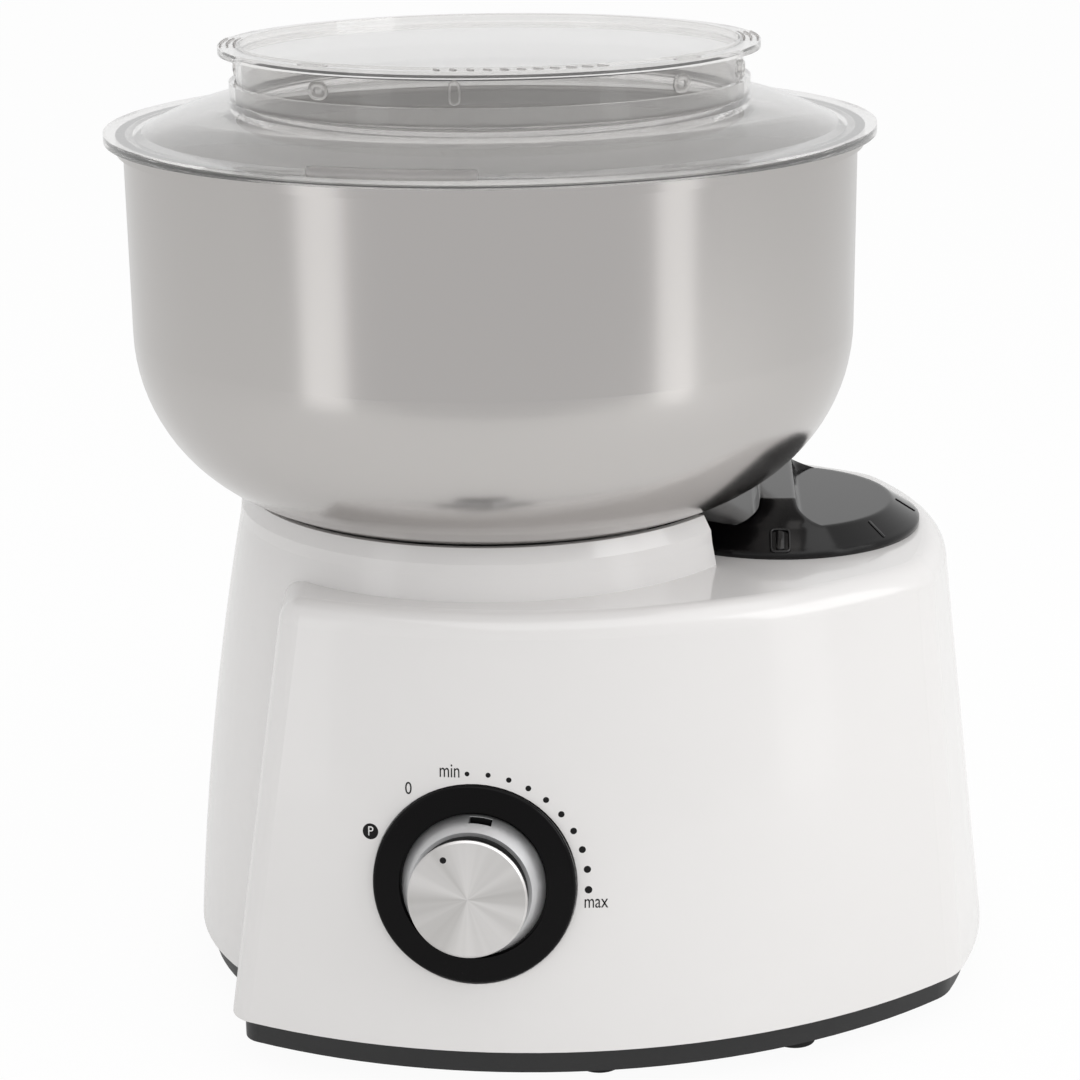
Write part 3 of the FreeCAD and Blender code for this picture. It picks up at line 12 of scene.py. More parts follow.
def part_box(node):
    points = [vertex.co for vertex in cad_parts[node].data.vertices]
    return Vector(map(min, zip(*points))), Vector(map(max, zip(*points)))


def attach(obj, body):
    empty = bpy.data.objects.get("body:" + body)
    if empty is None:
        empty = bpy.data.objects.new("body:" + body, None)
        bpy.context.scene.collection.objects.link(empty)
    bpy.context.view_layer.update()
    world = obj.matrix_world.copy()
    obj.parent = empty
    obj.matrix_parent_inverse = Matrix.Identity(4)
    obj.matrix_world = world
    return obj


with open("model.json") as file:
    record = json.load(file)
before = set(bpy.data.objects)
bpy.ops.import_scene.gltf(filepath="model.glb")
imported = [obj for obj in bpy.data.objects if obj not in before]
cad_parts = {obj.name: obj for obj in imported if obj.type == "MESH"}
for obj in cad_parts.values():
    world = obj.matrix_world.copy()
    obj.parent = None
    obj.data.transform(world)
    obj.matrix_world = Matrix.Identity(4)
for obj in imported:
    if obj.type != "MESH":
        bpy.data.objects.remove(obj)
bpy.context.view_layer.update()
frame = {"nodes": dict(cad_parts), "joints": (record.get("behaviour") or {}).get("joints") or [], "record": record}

MM = 0.001
JOINTS = {joint["name"]: joint for joint in frame["joints"]}
UP = Vector((0, 0, 1))

# Axes of the pieces that the details are set on
KNOB_PLACE = Vector(JOINTS["knob_turn"]["pos_m"])
KNOB_AXIS = -Vector(JOINTS["knob_turn"]["axis"]).normalized()
KNOB_RIGHT = UP.cross(KNOB_AXIS).normalized()
KNOB_UP = KNOB_AXIS.cross(KNOB_RIGHT)
BOWL_AXIS = Vector(JOINTS["spindle_spin"]["pos_m"])
COVER_AXIS = Vector(JOINTS["cover_twist"]["pos_m"])


# Materials


def linear(code):
    """Turns an sRGB hex colour into linear red, green, blue and alpha."""
    parts = [int(code[index:index + 2], 16) / 255 for index in (1, 3, 5)]
    return tuple(p / 12.92 if p <= 0.04045 else ((p + 0.055) / 1.055) ** 2.4 for p in parts) + (1.0,)


def add(tree, kind, settings=None, **inputs):
    """Adds a node; an input, by its name or by _ and its number, is a value or a socket to link."""
    made = tree.nodes.new(kind)
    for name, value in (settings or {}).items():
        setattr(made, name, value)
    for name, value in inputs.items():
        socket = made.inputs[int(name[1:])] if name[1:].isdigit() else made.inputs[name.replace("_", " ")]
        if isinstance(value, bpy.types.NodeSocket):
            tree.links.new(value, socket)
        else:
            socket.default_value = value
    return made


def finish(name, colour, roughness, metallic=0.0, **sockets):
    """A material with its shader's own sockets set, its tree, its shader and its object coordinates."""
    made = bpy.data.materials.new(name)
    made.use_nodes = True
    tree = made.node_tree
    shader = tree.nodes["Principled BSDF"]
    shader.inputs["Base Color"].default_value = linear(colour)
    shader.inputs["Roughness"].default_value = roughness
    shader.inputs["Metallic"].default_value = metallic
    for socket, value in sockets.items():
        shader.inputs[socket.replace("_", " ")].default_value = value
    place = add(tree, "ShaderNodeTexCoord").outputs["Object"]
    return made, tree, shader, place


def per_metre(size_mm):
    """The scale of a pattern whose features are this many millimetres wide."""
    return 1.0 / (size_mm * MM)


def uneven(tree, shader, place, size_mm, low, high):
    """Roughness that wanders between two values over patches of a given size."""
    noise = add(tree, "ShaderNodeTexNoise", Vector=place, Scale=per_metre(size_mm), Detail=3.0)
    spread = add(tree, "ShaderNodeMapRange", Value=noise.outputs["Fac"], To_Min=low, To_Max=high)
    tree.links.new(spread.outputs["Result"], shader.inputs["Roughness"])


def grained(tree, shader, place, size_mm, depth_mm, strength, edge_mm=0.0):
    """A fine surface relief of a given grain and depth, over edges that the mould rounds by a little."""
    noise = add(tree, "ShaderNodeTexNoise", Vector=place, Scale=per_metre(size_mm), Detail=2.0)
    bump = add(tree, "ShaderNodeBump", Height=noise.outputs["Fac"], Distance=depth_mm * MM,
               Strength=strength)
    if edge_mm:
        eased = add(tree, "ShaderNodeBevel", {"samples": 8}, Radius=edge_mm * MM)
        tree.links.new(eased.outputs["Normal"], bump.inputs["Normal"])
    tree.links.new(bump.outputs["Normal"], shader.inputs["Normal"])


def shaded(tree, shader, place, size_mm, first, second):
    """A base colour that drifts between two near tones."""
    noise = add(tree, "ShaderNodeTexNoise", Vector=place, Scale=per_metre(size_mm), Detail=3.0)
    tone = add(tree, "ShaderNodeMix", {"data_type": "RGBA"}, Factor=noise.outputs["Fac"],
               _6=linear(first), _7=linear(second))
    tree.links.new(tone.outputs[2], shader.inputs["Base Color"])


def moulded(name, dark, light, polish, grain_mm, relief_mm, edge_mm=0.0, **sockets):
    """Moulded plastic or rubber: an even colour with a faint drift, a sheen that wanders, a fine grain."""
    made, tree, shader, place = finish(name, dark, polish, **sockets)
    shaded(tree, shader, place, 40.0, dark, light)
    uneven(tree, shader, place, 12.0, polish * 0.85, polish * 1.2)
    grained(tree, shader, place, grain_mm, relief_mm, 0.25, edge_mm)
    return made


def machined(name, dark, light, polish, grain_mm):
    """Plain metal: a drift of tone, and the fine relief that rolling or grinding leaves."""
    made, tree, shader, place = finish(name, dark, polish, 1.0)
    shaded(tree, shader, place, 15.0, dark, light)
    uneven(tree, shader, place, 4.0, polish * 0.8, polish * 1.25)
    grained(tree, shader, place, grain_mm, 0.01, 0.2)
    return made


def white_abs():
    """White ABS from a polished mould: a high gloss with the faint waviness of a large shrunken wall."""
    made, tree, shader, place = finish("white_abs_moulded", "#E8E6E5", 0.2,
                                       Coat_Weight=0.6, Coat_Roughness=0.05)
    shaded(tree, shader, place, 90.0, "#E8E6E5", "#E4E2E1")
    uneven(tree, shader, place, 30.0, 0.17, 0.24)
    grained(tree, shader, place, 9.0, 0.02, 0.12)
    return made


def spun_aluminium():
    """Aluminium faced on a lathe: fine rings, its own radial sheen, and light and dark wedges of that sheen
    painted into its colour.
    """
    made, tree, shader, place = finish("aluminium_spun_painted_sheen", "#D3D1CF", 0.3, 1.0, Anisotropic=0.85)
    offset = add(tree, "ShaderNodeVectorMath", {"operation": "SUBTRACT"}, _0=place, _1=tuple(KNOB_PLACE))
    # A vector as long as a point lies from the knob's axis, which turns with the point
    across = add(tree, "ShaderNodeVectorMath", {"operation": "CROSS_PRODUCT"},
                 _0=offset.outputs["Vector"], _1=tuple(KNOB_AXIS)).outputs["Vector"]
    way = add(tree, "ShaderNodeVectorMath", {"operation": "NORMALIZE"}, _0=across).outputs["Vector"]
    # Painted sheen: light and dark wedges put into the colour, which follow the way alone, so that their scale has
    # no millimetres
    painted_sheen_wedges = add(tree, "ShaderNodeTexNoise", Vector=way, Scale=1.3, Detail=2.5, Roughness=0.6)
    spread = add(tree, "ShaderNodeMapRange", Value=painted_sheen_wedges.outputs["Fac"], From_Min=0.3, From_Max=0.7)
    # The painted sheen mixes a darker and a lighter tone into the base colour
    tone = add(tree, "ShaderNodeMix", {"data_type": "RGBA"}, Factor=spread.outputs["Result"],
               _6=linear("#BDBBB9"), _7=linear("#E6E4E3"))
    tree.links.new(tone.outputs[2], shader.inputs["Base Color"])
    # Rings 0.35 mm apart, coarser than a lathe leaves them, so that they show
    radius = add(tree, "ShaderNodeVectorMath", {"operation": "LENGTH"}, _0=across).outputs["Value"]
    turns = add(tree, "ShaderNodeMath", {"operation": "MULTIPLY"}, _0=radius,
                _1=2 * math.pi * per_metre(0.35))
    wave = add(tree, "ShaderNodeMath", {"operation": "SINE"}, _0=turns.outputs[0])
    bump = add(tree, "ShaderNodeBump", Height=wave.outputs[0], Distance=0.004 * MM, Strength=0.2)
    tree.links.new(bump.outputs["Normal"], shader.inputs["Normal"])
    sheen = add(tree, "ShaderNodeTangent", {"direction_type": "RADIAL", "axis": "Y"})
    tree.links.new(sheen.outputs["Tangent"], shader.inputs["Tangent"])
    return made


def polished_stainless(name, tone, polish):
    """Stainless steel, drawn and buffed: it mirrors the room softly, and drifts as buffing leaves it."""
    made, tree, shader, place = finish(name, tone, polish, 1.0)
    uneven(tree, shader, place, 60.0, polish * 0.8, polish * 1.3)
    streaks = add(tree, "ShaderNodeMapping", Vector=place, Scale=(1.0, 1.0, 14.0))
    noise = add(tree, "ShaderNodeTexNoise", Vector=streaks.outputs["Vector"], Scale=per_metre(45.0),
                Detail=2.0)
    bump = add(tree, "ShaderNodeBump", Height=noise.outputs["Fac"], Distance=0.02 * MM, Strength=0.08)
    tree.links.new(bump.outputs["Normal"], shader.inputs["Normal"])
    return made


def bowl_stainless():
    """Stainless steel deep-drawn to a bowl: buffed outside, and left with a brushed satin inside."""
    outside_tone = "#C1BEBC"
    inside_tone = "#D6D4D2"
    satin = 0.42
    made = polished_stainless("stainless_polished", outside_tone, 0.18)
    tree = made.node_tree
    shader = tree.nodes["Principled BSDF"]
    # The inside is what faces the middle of the bowl's mouth
    mouth = (BOWL_AXIS.x, BOWL_AXIS.y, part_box("mixing_bowl")[1].z)
    coordinates = add(tree, "ShaderNodeTexCoord").outputs
    offset = add(tree, "ShaderNodeVectorMath", {"operation": "SUBTRACT"},
                 _0=coordinates["Object"], _1=mouth)
    facing = add(tree, "ShaderNodeVectorMath", {"operation": "DOT_PRODUCT"},
                 _0=offset.outputs["Vector"], _1=coordinates["Normal"])
    outside = add(tree, "ShaderNodeMapRange", Value=facing.outputs["Value"], From_Min=-MM, From_Max=MM)
    tone = add(tree, "ShaderNodeMix", {"data_type": "RGBA"}, Factor=outside.outputs["Result"],
               _6=linear(inside_tone), _7=linear(outside_tone))
    tree.links.new(tone.outputs[2], shader.inputs["Base Color"])
    buffed = shader.inputs["Roughness"].links[0].from_socket
    polish = add(tree, "ShaderNodeMix", Factor=outside.outputs["Result"], _2=satin, _3=buffed)
    tree.links.new(polish.outputs[0], shader.inputs["Roughness"])
    return made


def chrome_plate():
    """Satin chrome on moulded plastic: a soft mirror under a thin bright lacquer, with cloudy plating."""
    made, tree, shader, place = finish("chrome_plated", "#CFCFD0", 0.45, 1.0,
                                       Coat_Weight=0.6, Coat_Roughness=0.03)
    uneven(tree, shader, place, 5.0, 0.38, 0.52)
    return made


def clear_san():
    """Clear SAN, a hard moulded plastic: a gloss over a slight haze, and a waviness from its flow."""
    # The IOR is set below the plastic's own, so that the walls bend what is behind them less
    made, tree, shader, place = finish("san_clear", "#F4F3F2", 0.03, IOR=1.08, Transmission_Weight=0.88,
                                       Coat_Weight=1.0, Coat_Roughness=0.03)
    grained(tree, shader, place, 25.0, 0.03, 0.15)
    return made


def frosted_san():
    """The same plastic from a spark-eroded mould: fine grit scatters the light to a soft grey."""
    made, tree, shader, place = finish("san_frosted", "#D9D7D6", 0.4, IOR=1.2, Transmission_Weight=0.85)
    uneven(tree, shader, place, 3.0, 0.32, 0.48)
    grained(tree, shader, place, 0.4, 0.02, 0.3)
    return made


def ink(name, colour):
    """Printed ink: flat, a little dull, with the broken edge of a pad print too fine to show."""
    made, tree, shader, place = finish(name, colour, 0.45, Specular_IOR_Level=0.2)
    uneven(tree, shader, place, 0.8, 0.38, 0.55)
    return made


# A moulded or machined finish has its name, two tones, its roughness, the width of its grain in
# millimetres, and where it is moulded the grain's depth and the rounding of its edges
FINISHES = {
    "white_plastic": white_abs(),
    # Satin black ABS, and black rubber with a dull bloom
    "black_base": moulded("abs_black_satin", "#161617", "#1D1D1E", 0.42, 0.6, 0.02),
    "rubber": moulded("rubber_black", "#131313", "#1B1B1A", 0.7, 0.9, 0.03),
    # Gloss black ABS from a polished mould: dark, with sharp reflections
    "cover_black": moulded("abs_black_cover", "#070607", "#0B0A0B", 0.09, 6.0, 0.01, 2.5,
                           Specular_IOR_Level=0.3),
    "bezel_black": moulded("abs_black_bezel", "#050405", "#080708", 0.12, 5.0, 0.01,
                           Specular_IOR_Level=0.12),
    "core_black": moulded("abs_black_core", "#040404", "#070707", 0.5, 3.0, 0.01, Specular_IOR_Level=0.08),
    "knob_chrome": chrome_plate(),
    "knob_aluminium": spun_aluminium(),
    "bowl_steel": bowl_stainless(),
    "tube_steel": polished_stainless("stainless_tube", "#CBC9C7", 0.16),
    "hook_steel": polished_stainless("stainless_hook", "#D0CECC", 0.14),
    "clear_plastic": clear_san(),
    # Black glass-filled nylon: dull, with the glass fibres' faint roughness
    "hub_plastic": moulded("nylon_glass_filled", "#202021", "#2A2A2B", 0.5, 0.7, 0.03),
    "gear_plastic": moulded("acetal_natural", "#E4DFD2", "#DAD5C6", 0.38, 1.2, 0.02),
    "carbon": moulded("carbon_pressed", "#191919", "#242424", 0.6, 0.4, 0.03),
    "dark_plastic": moulded("phenolic_dark", "#262628", "#2E2E30", 0.45, 0.9, 0.02),
    "board_green": moulded("circuit_board", "#1F5A34", "#25663C", 0.35, 1.5, 0.02),
    # Ground, zinc-plated, sintered and plain cut metals inside
    "shaft_steel": machined("steel_ground", "#B4B4B5", "#C0C0C1", 0.24, 0.5),
    "screw_steel": machined("steel_zinc_plated", "#A9AAAD", "#BDBDBB", 0.32, 0.8),
    "bush_bronze": machined("bronze_sintered", "#A07A48", "#B08A55", 0.42, 0.4),
    "plate_aluminium": machined("aluminium_sheet", "#C4C5C6", "#CDCECE", 0.36, 1.0),
    "lamination": machined("steel_laminated", "#77787C", "#85868A", 0.45, 0.6),
    "copper": machined("copper_enamelled", "#B0613A", "#C27548", 0.3, 0.5),
}
# The cover's raised marks, with crisp edges that catch more light, in the cover's black painted a little lighter
# so that they look lit
COVER_RELIEF_PAINTED_LIGHTER = moulded("abs_black_relief_painted_lighter", "#0B0A0B", "#121112", 0.12, 6.0, 0.01)
BLACK_INK = ink("ink_black", "#100F10")
WHITE_INK = ink("ink_white", "#E9E8E7")
FROSTED = frosted_san()


def dress_solids():
    """Gives every solid the finish of its slot."""
    for part in frame["record"]["subparts"]:
        mesh = frame["nodes"][part["node"]].data
        mesh.materials.clear()
        mesh.materials.append(FINISHES[part["material_slot"]])


# Making pieces

SAME_POINT = 0.001 * MM
# How far above a surface, and out from the bowl's axis, the search for a point on it starts
CAST_BACK = 60.0 * MM
SIDE_CAST = 140.0 * MM
# Level of a raised piece's foot, below its surface, as a share of its height
ROOT = -0.2
# Share of a pad's smaller reach that its rounded edge takes, and where along itself that edge bends
EDGE_SHARE = 0.25
EDGE_BEND = 0.3
SMALL_STEPS = 5


def solid_surface(name):
    """A tree for finding points on the outside of a solid."""
    mesh = frame["nodes"][name].data
    points = [vertex.co.copy() for vertex in mesh.vertices]
    return BVHTree.FromPolygons(points, [list(polygon.vertices) for polygon in mesh.polygons])


def piece(name, shape, body, slot, surface=None):
    """Makes an object of a bmesh; it rides on a body and takes a slot's finish, or a surface of its own."""
    mesh = bpy.data.meshes.new(name)
    bmesh.ops.remove_doubles(shape, verts=shape.verts, dist=SAME_POINT)
    bmesh.ops.recalc_face_normals(shape, faces=shape.faces)
    shape.to_mesh(mesh)
    shape.free()
    for polygon in mesh.polygons:
        polygon.use_smooth = True
    mesh.materials.append(surface or FINISHES[slot])
    made = bpy.data.objects.new(name, mesh)
    bpy.context.scene.collection.objects.link(made)
    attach(made, body)


def outward(turn):
    """The level way out from an upright axis at a turn in degrees."""
    angle = math.radians(turn)
    return Vector((math.cos(angle), math.sin(angle), 0))


def on_bowl(turn, radius, height):
    """A point at a turn and a radius about the bowl's axis."""
    point = BOWL_AXIS + outward(turn) * radius
    point.z = height
    return point


def seat_on(surface, point, way, out=None):
    """A matrix on the surface that a point sees along a way; Z looks back, X is level or along out."""
    hit, normal, _, _ = surface.ray_cast(point, way)
    if normal.dot(way) > 0:
        normal = -normal
    level = (out or UP.cross(normal)).normalized()
    side = (level - normal * level.dot(normal)).normalized()
    return Matrix.Translation(hit) @ Matrix((side, normal.cross(side), normal)).transposed().to_4x4()


def stadium(length, width, steps=8, corner=None):
    """Outline of a long shape about its middle, with round ends or with corners of a given radius."""
    corner = corner or width / 2
    ring = []
    for quarter, (way_x, way_y) in enumerate(((1, 1), (-1, 1), (-1, -1), (1, -1))):
        for step in range(steps + 1):
            turn = math.pi / 2 * (quarter + step / steps)
            ring.append((way_x * (length / 2 - corner) + corner * math.cos(turn),
                         way_y * (width / 2 - corner) + corner * math.sin(turn)))
    return ring


def skin(shape, rings, closed=False):
    """Joins rings of points by faces, and the last ring to the first where closed."""
    for low, high in zip(rings, rings[1:] + (rings[:1] if closed else [])):
        for index in range(len(low)):
            after = (index + 1) % len(low)
            shape.faces.new((low[index], low[after], high[after], high[index]))


def cap(shape, rings):
    """Closes the two ends of a skin."""
    shape.faces.new(rings[0][::-1])
    shape.faces.new(rings[-1])


def raised_pad(shape, outline, height, place):
    """Adds a low pad with a rounded top edge, set by a matrix whose Z is the way out."""
    reach = min(max(abs(x) for x, y in outline), max(abs(y) for x, y in outline))
    far = max(math.hypot(x, y) for x, y in outline)
    soft = min(height, EDGE_SHARE * reach)
    bend = EDGE_BEND * soft
    levels = ((0.0, ROOT * height), (0.0, height - soft), (bend, height - bend), (soft, height))
    rings = []
    for inset, level in levels:
        scale = 1 - inset / far
        rings.append([shape.verts.new(place @ Vector((x * scale, y * scale, level))) for x, y in outline])
    skin(shape, rings)
    cap(shape, rings)


def raised_loop(shape, length, width, band, height, place, corner=None):
    """Adds a low band that runs round a long opening, with its edges eased."""
    corner = corner or width / 2
    # Shares of the band from its outer edge, and of the height
    levels = ((0.0, ROOT), (0.0, 0.7), (0.25, 1.0), (0.75, 1.0), (1.0, 0.7), (1.0, ROOT))
    rings = []
    for share, level in levels:
        inset = share * band
        outline = stadium(length - 2 * inset, width - 2 * inset, corner=corner - inset)
        rings.append([shape.verts.new(place @ Vector((x, y, level * height))) for x, y in outline])
    skin(shape, rings, closed=True)


# Dial on the front panel

DIAL_RADIUS = 40.0 * MM
DIAL_DROP = 0.15 * MM
DOT_WIDTHS = (1.7 * MM, 2.7 * MM)
DOT_COUNT = 10
DOT_FIRST = -3.5
DOT_LAST = 92.0
INK_HEIGHT = 0.06 * MM
# Each word with the middle of its letters, right and up from the knob's axis, and its letter size, all
# in millimetres, and how much taller than wide its narrow letters are drawn
WORDS = (("0", -23.3, 33.6, 5.3, 1.18), ("min", -8.6, 40.6, 5.1, 1.42), ("max", 42.6, -6.0, 5.0, 1.4))
BADGE_PLACE = (-37.2, 17.2)
BADGE_WIDTH = 5.8 * MM
BADGE_STEPS = 16
BADGE_LETTER = 4.4
BADGE_STRETCH = 1.1
BADGE_LIFT = 1.5 * INK_HEIGHT


def before_panel(right, up):
    """A point in front of the panel, right and up from the knob's axis."""
    return KNOB_PLACE + KNOB_RIGHT * right + KNOB_UP * up + KNOB_AXIS * CAST_BACK


def round_dial(turn, radius):
    """A point in front of the panel at a clockwise turn in degrees from upright about the knob's axis."""
    angle = math.radians(turn)
    return before_panel(radius * math.sin(angle), radius * math.cos(angle))


def letters(name, text, size, stretch, right, up, panel, colour, lift=0.0):
    """Upright letters laid on the curved panel; the place and size are in millimetres."""
    font = bpy.data.curves.new(name, "FONT")
    font.body = text
    font.size = size * MM
    font.align_x = "CENTER"
    font.align_y = "CENTER"
    font.extrude = INK_HEIGHT
    holder = bpy.data.objects.new(name + "_outline", font)
    bpy.context.scene.collection.objects.link(holder)
    bpy.context.view_layer.update()
    mesh = bpy.data.meshes.new_from_object(holder.evaluated_get(bpy.context.evaluated_depsgraph_get()))
    bpy.data.objects.remove(holder)
    shape = bmesh.new()
    shape.from_mesh(mesh)
    bpy.data.meshes.remove(mesh)
    for vertex in shape.verts:
        point = before_panel(right * MM + vertex.co.x, up * MM + stretch * vertex.co.y)
        vertex.co = panel.ray_cast(point, -KNOB_AXIS)[0] + KNOB_AXIS * (vertex.co.z + lift)
    piece(name, shape, "housing", "core_black", colour)


def dial():
    """Dots that grow round the bezel, the end words, and a letter in a round badge."""
    panel = solid_surface("upper_housing")
    shape = bmesh.new()
    for index in range(DOT_COUNT):
        share = index / (DOT_COUNT - 1)
        width = DOT_WIDTHS[0] + (DOT_WIDTHS[1] - DOT_WIDTHS[0]) * share
        spot = round_dial(DOT_FIRST + (DOT_LAST - DOT_FIRST) * share, DIAL_RADIUS) - KNOB_UP * DIAL_DROP
        raised_pad(shape, stadium(width, width), INK_HEIGHT, seat_on(panel, spot, -KNOB_AXIS))
    piece("dial_dots", shape, "housing", "core_black", BLACK_INK)
    for text, right, up, size, stretch in WORDS:
        letters(f"dial_{text}", text, size, stretch, right, up, panel, BLACK_INK)
    right, up = BADGE_PLACE
    shape = bmesh.new()
    place = seat_on(panel, before_panel(right * MM, up * MM), -KNOB_AXIS)
    raised_pad(shape, stadium(BADGE_WIDTH, BADGE_WIDTH, BADGE_STEPS), INK_HEIGHT, place)
    piece("dial_badge", shape, "housing", "core_black", BLACK_INK)
    letters("dial_badge_letter", "P", BADGE_LETTER, BADGE_STRETCH, right, up, panel, WHITE_INK, BADGE_LIFT)


# Marker on the knob, and the window in its skirt

MARKER_RADIUS = 16.1 * MM
MARKER_TURN = -31.2
MARKER_WIDTH = 2.3 * MM
WINDOW_PLACE = (2.8 * MM, 22.3 * MM)
WINDOW_WIDTH = 7.8 * MM
WINDOW_FOOT = 2.0 * MM
WINDOW_FLOOR = 0.5 * MM
WINDOW_INSIDE = 19.75 * MM
WINDOW_OUTSIDE = 25.0 * MM
WINDOW_STEPS = 8


def knob_marker():
    """The printed dot that points to the dial."""
    place = seat_on(solid_surface("knob_face"), round_dial(MARKER_TURN, MARKER_RADIUS), -KNOB_AXIS)
    shape = bmesh.new()
    raised_pad(shape, stadium(MARKER_WIDTH, MARKER_WIDTH), INK_HEIGHT, place)
    piece("knob_marker", shape, "knob", "core_black", BLACK_INK)


def knob_window():
    """The black floor that shows through the window in the skirt."""
    right, up = WINDOW_PLACE
    outline = []
    for radius, way in ((WINDOW_INSIDE, 1), (WINDOW_OUTSIDE, -1)):
        for step in range(WINDOW_STEPS + 1):
            across = way * WINDOW_WIDTH * (step / WINDOW_STEPS - 0.5)
            outline.append((across, math.sqrt(radius ** 2 - (right + across) ** 2) - up))
    middle = KNOB_PLACE + KNOB_RIGHT * right + KNOB_UP * up + KNOB_AXIS * WINDOW_FOOT
    place = Matrix.Translation(middle) @ Matrix((KNOB_RIGHT, KNOB_UP, KNOB_AXIS)).transposed().to_4x4()
    shape = bmesh.new()
    raised_pad(shape, outline, WINDOW_FLOOR, place)
    piece("knob_window", shape, "knob", "core_black")


# Bowl rim and lids

RIM_ROUND = 1.9 * MM
RIM_STEPS = 160
BEAD_STEPS = 14
STRIP_FROM = -60.0 * MM
STRIP_TO = -4.5 * MM
STRIP_WIDTH = 7.0 * MM
STRIP_HEIGHT = 2.6 * MM
STRIP_INSET = 0.6 * MM
STRIP_END_STEPS = 8
STRIP_STEPS = 20
# The strip's section, as shares of its width and height
STRIP_SECTION = ((-0.5, -0.1), (-0.5, 0.7), (-0.4, 1.0), (0.4, 1.0), (0.5, 0.7), (0.5, -0.1))
GRIP_ENDS = (0.0, 180.0)
GRIP_ROWS = (93.2 * MM, 95.7 * MM, 98.2 * MM)
GRIP_SPAN = 7.5
GRIP_COUNT = 8
GRIP_LENGTH = 1.9 * MM
GRIP_WIDTH = 0.9 * MM
GRIP_HEIGHT = 0.5 * MM
TICK_COUNT = 11
TICK_FROM = -100.7
TICK_TO = -66.7
TICK_RADIUS = 96.0 * MM
TICK_SLANT = 35.0
TICK_LENGTH = 4.4 * MM
TICK_WIDTH = 1.0 * MM
TICK_HEIGHT = 0.35 * MM
SLOT_TURNS = (-129.0, -45.0)
SLOT_LENGTH = 13.0 * MM
SLOT_WIDTH = 3.6 * MM
SLOT_HEIGHT = 0.35 * MM
KEYWAY_TURN = -97.4
KEYWAY_WIDTH = 4.2 * MM
KEYWAY_HEIGHT = 8.4 * MM
KEYWAY_RIB = 0.9 * MM
KEYWAY_RISE = 0.5 * MM
STUD_TURNS = (-129.0, -45.0, 178.0, -15.0)
STUD_LENGTH = 8.2 * MM
STUD_WIDTH = 6.4 * MM
STUD_BAND = 2.0 * MM
STUD_HEIGHT = 1.4 * MM
STUD_RISE = 12.5 * MM


def bowl_rim():
    """The bowl's edge, rolled over to a bead."""
    low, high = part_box("mixing_bowl")
    radius = (high.y - low.y) / 2 - RIM_ROUND
    height = high.z - RIM_ROUND
    shape = bmesh.new()
    rings = []
    for step in range(RIM_STEPS):
        turn = 360 * step / RIM_STEPS
        ring = []
        for side in range(BEAD_STEPS):
            angle = 2 * math.pi * side / BEAD_STEPS
            reach = radius + RIM_ROUND * math.cos(angle)
            ring.append(shape.verts.new(on_bowl(turn, reach, height + RIM_ROUND * math.sin(angle))))
        rings.append(ring)
    skin(shape, rings, closed=True)
    piece("bowl_rim_bead", shape, "bowl", "bowl_steel")


def lid_strip():
    """The raised strip with round ends along the front of the splash lid's flange."""
    low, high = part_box("splash_lid")
    lid = solid_surface("splash_lid")
    edge = (high.y - low.y) / 2 - STRIP_WIDTH / 2 - STRIP_INSET
    length = STRIP_TO - STRIP_FROM
    # Stops along the strip, each with the share of its width there
    near = []
    for step in range(1, STRIP_END_STEPS + 1):
        angle = math.pi / 2 * step / STRIP_END_STEPS
        near.append((STRIP_WIDTH / 2 * (1 - math.cos(angle)), math.sin(angle)))
    straight = length - STRIP_WIDTH
    run = [(STRIP_WIDTH / 2 + straight * step / STRIP_STEPS, 1.0) for step in range(1, STRIP_STEPS)]
    far = [(length - along, share) for along, share in reversed(near)]
    shape = bmesh.new()
    rings = []
    for along, share in near + run + far:
        turn = math.degrees(-math.acos((STRIP_FROM + along) / edge))
        foot = lid.ray_cast(on_bowl(turn, edge, high.z + CAST_BACK), -UP)[0].z
        ring = []
        for side, rise in STRIP_SECTION:
            point = on_bowl(turn, edge + side * STRIP_WIDTH * share, foot + rise * STRIP_HEIGHT)
            ring.append(shape.verts.new(point))
        rings.append(ring)
    skin(shape, rings)
    cap(shape, rings)
    piece("lid_strip", shape, "splash_lid", "clear_plastic", FROSTED)


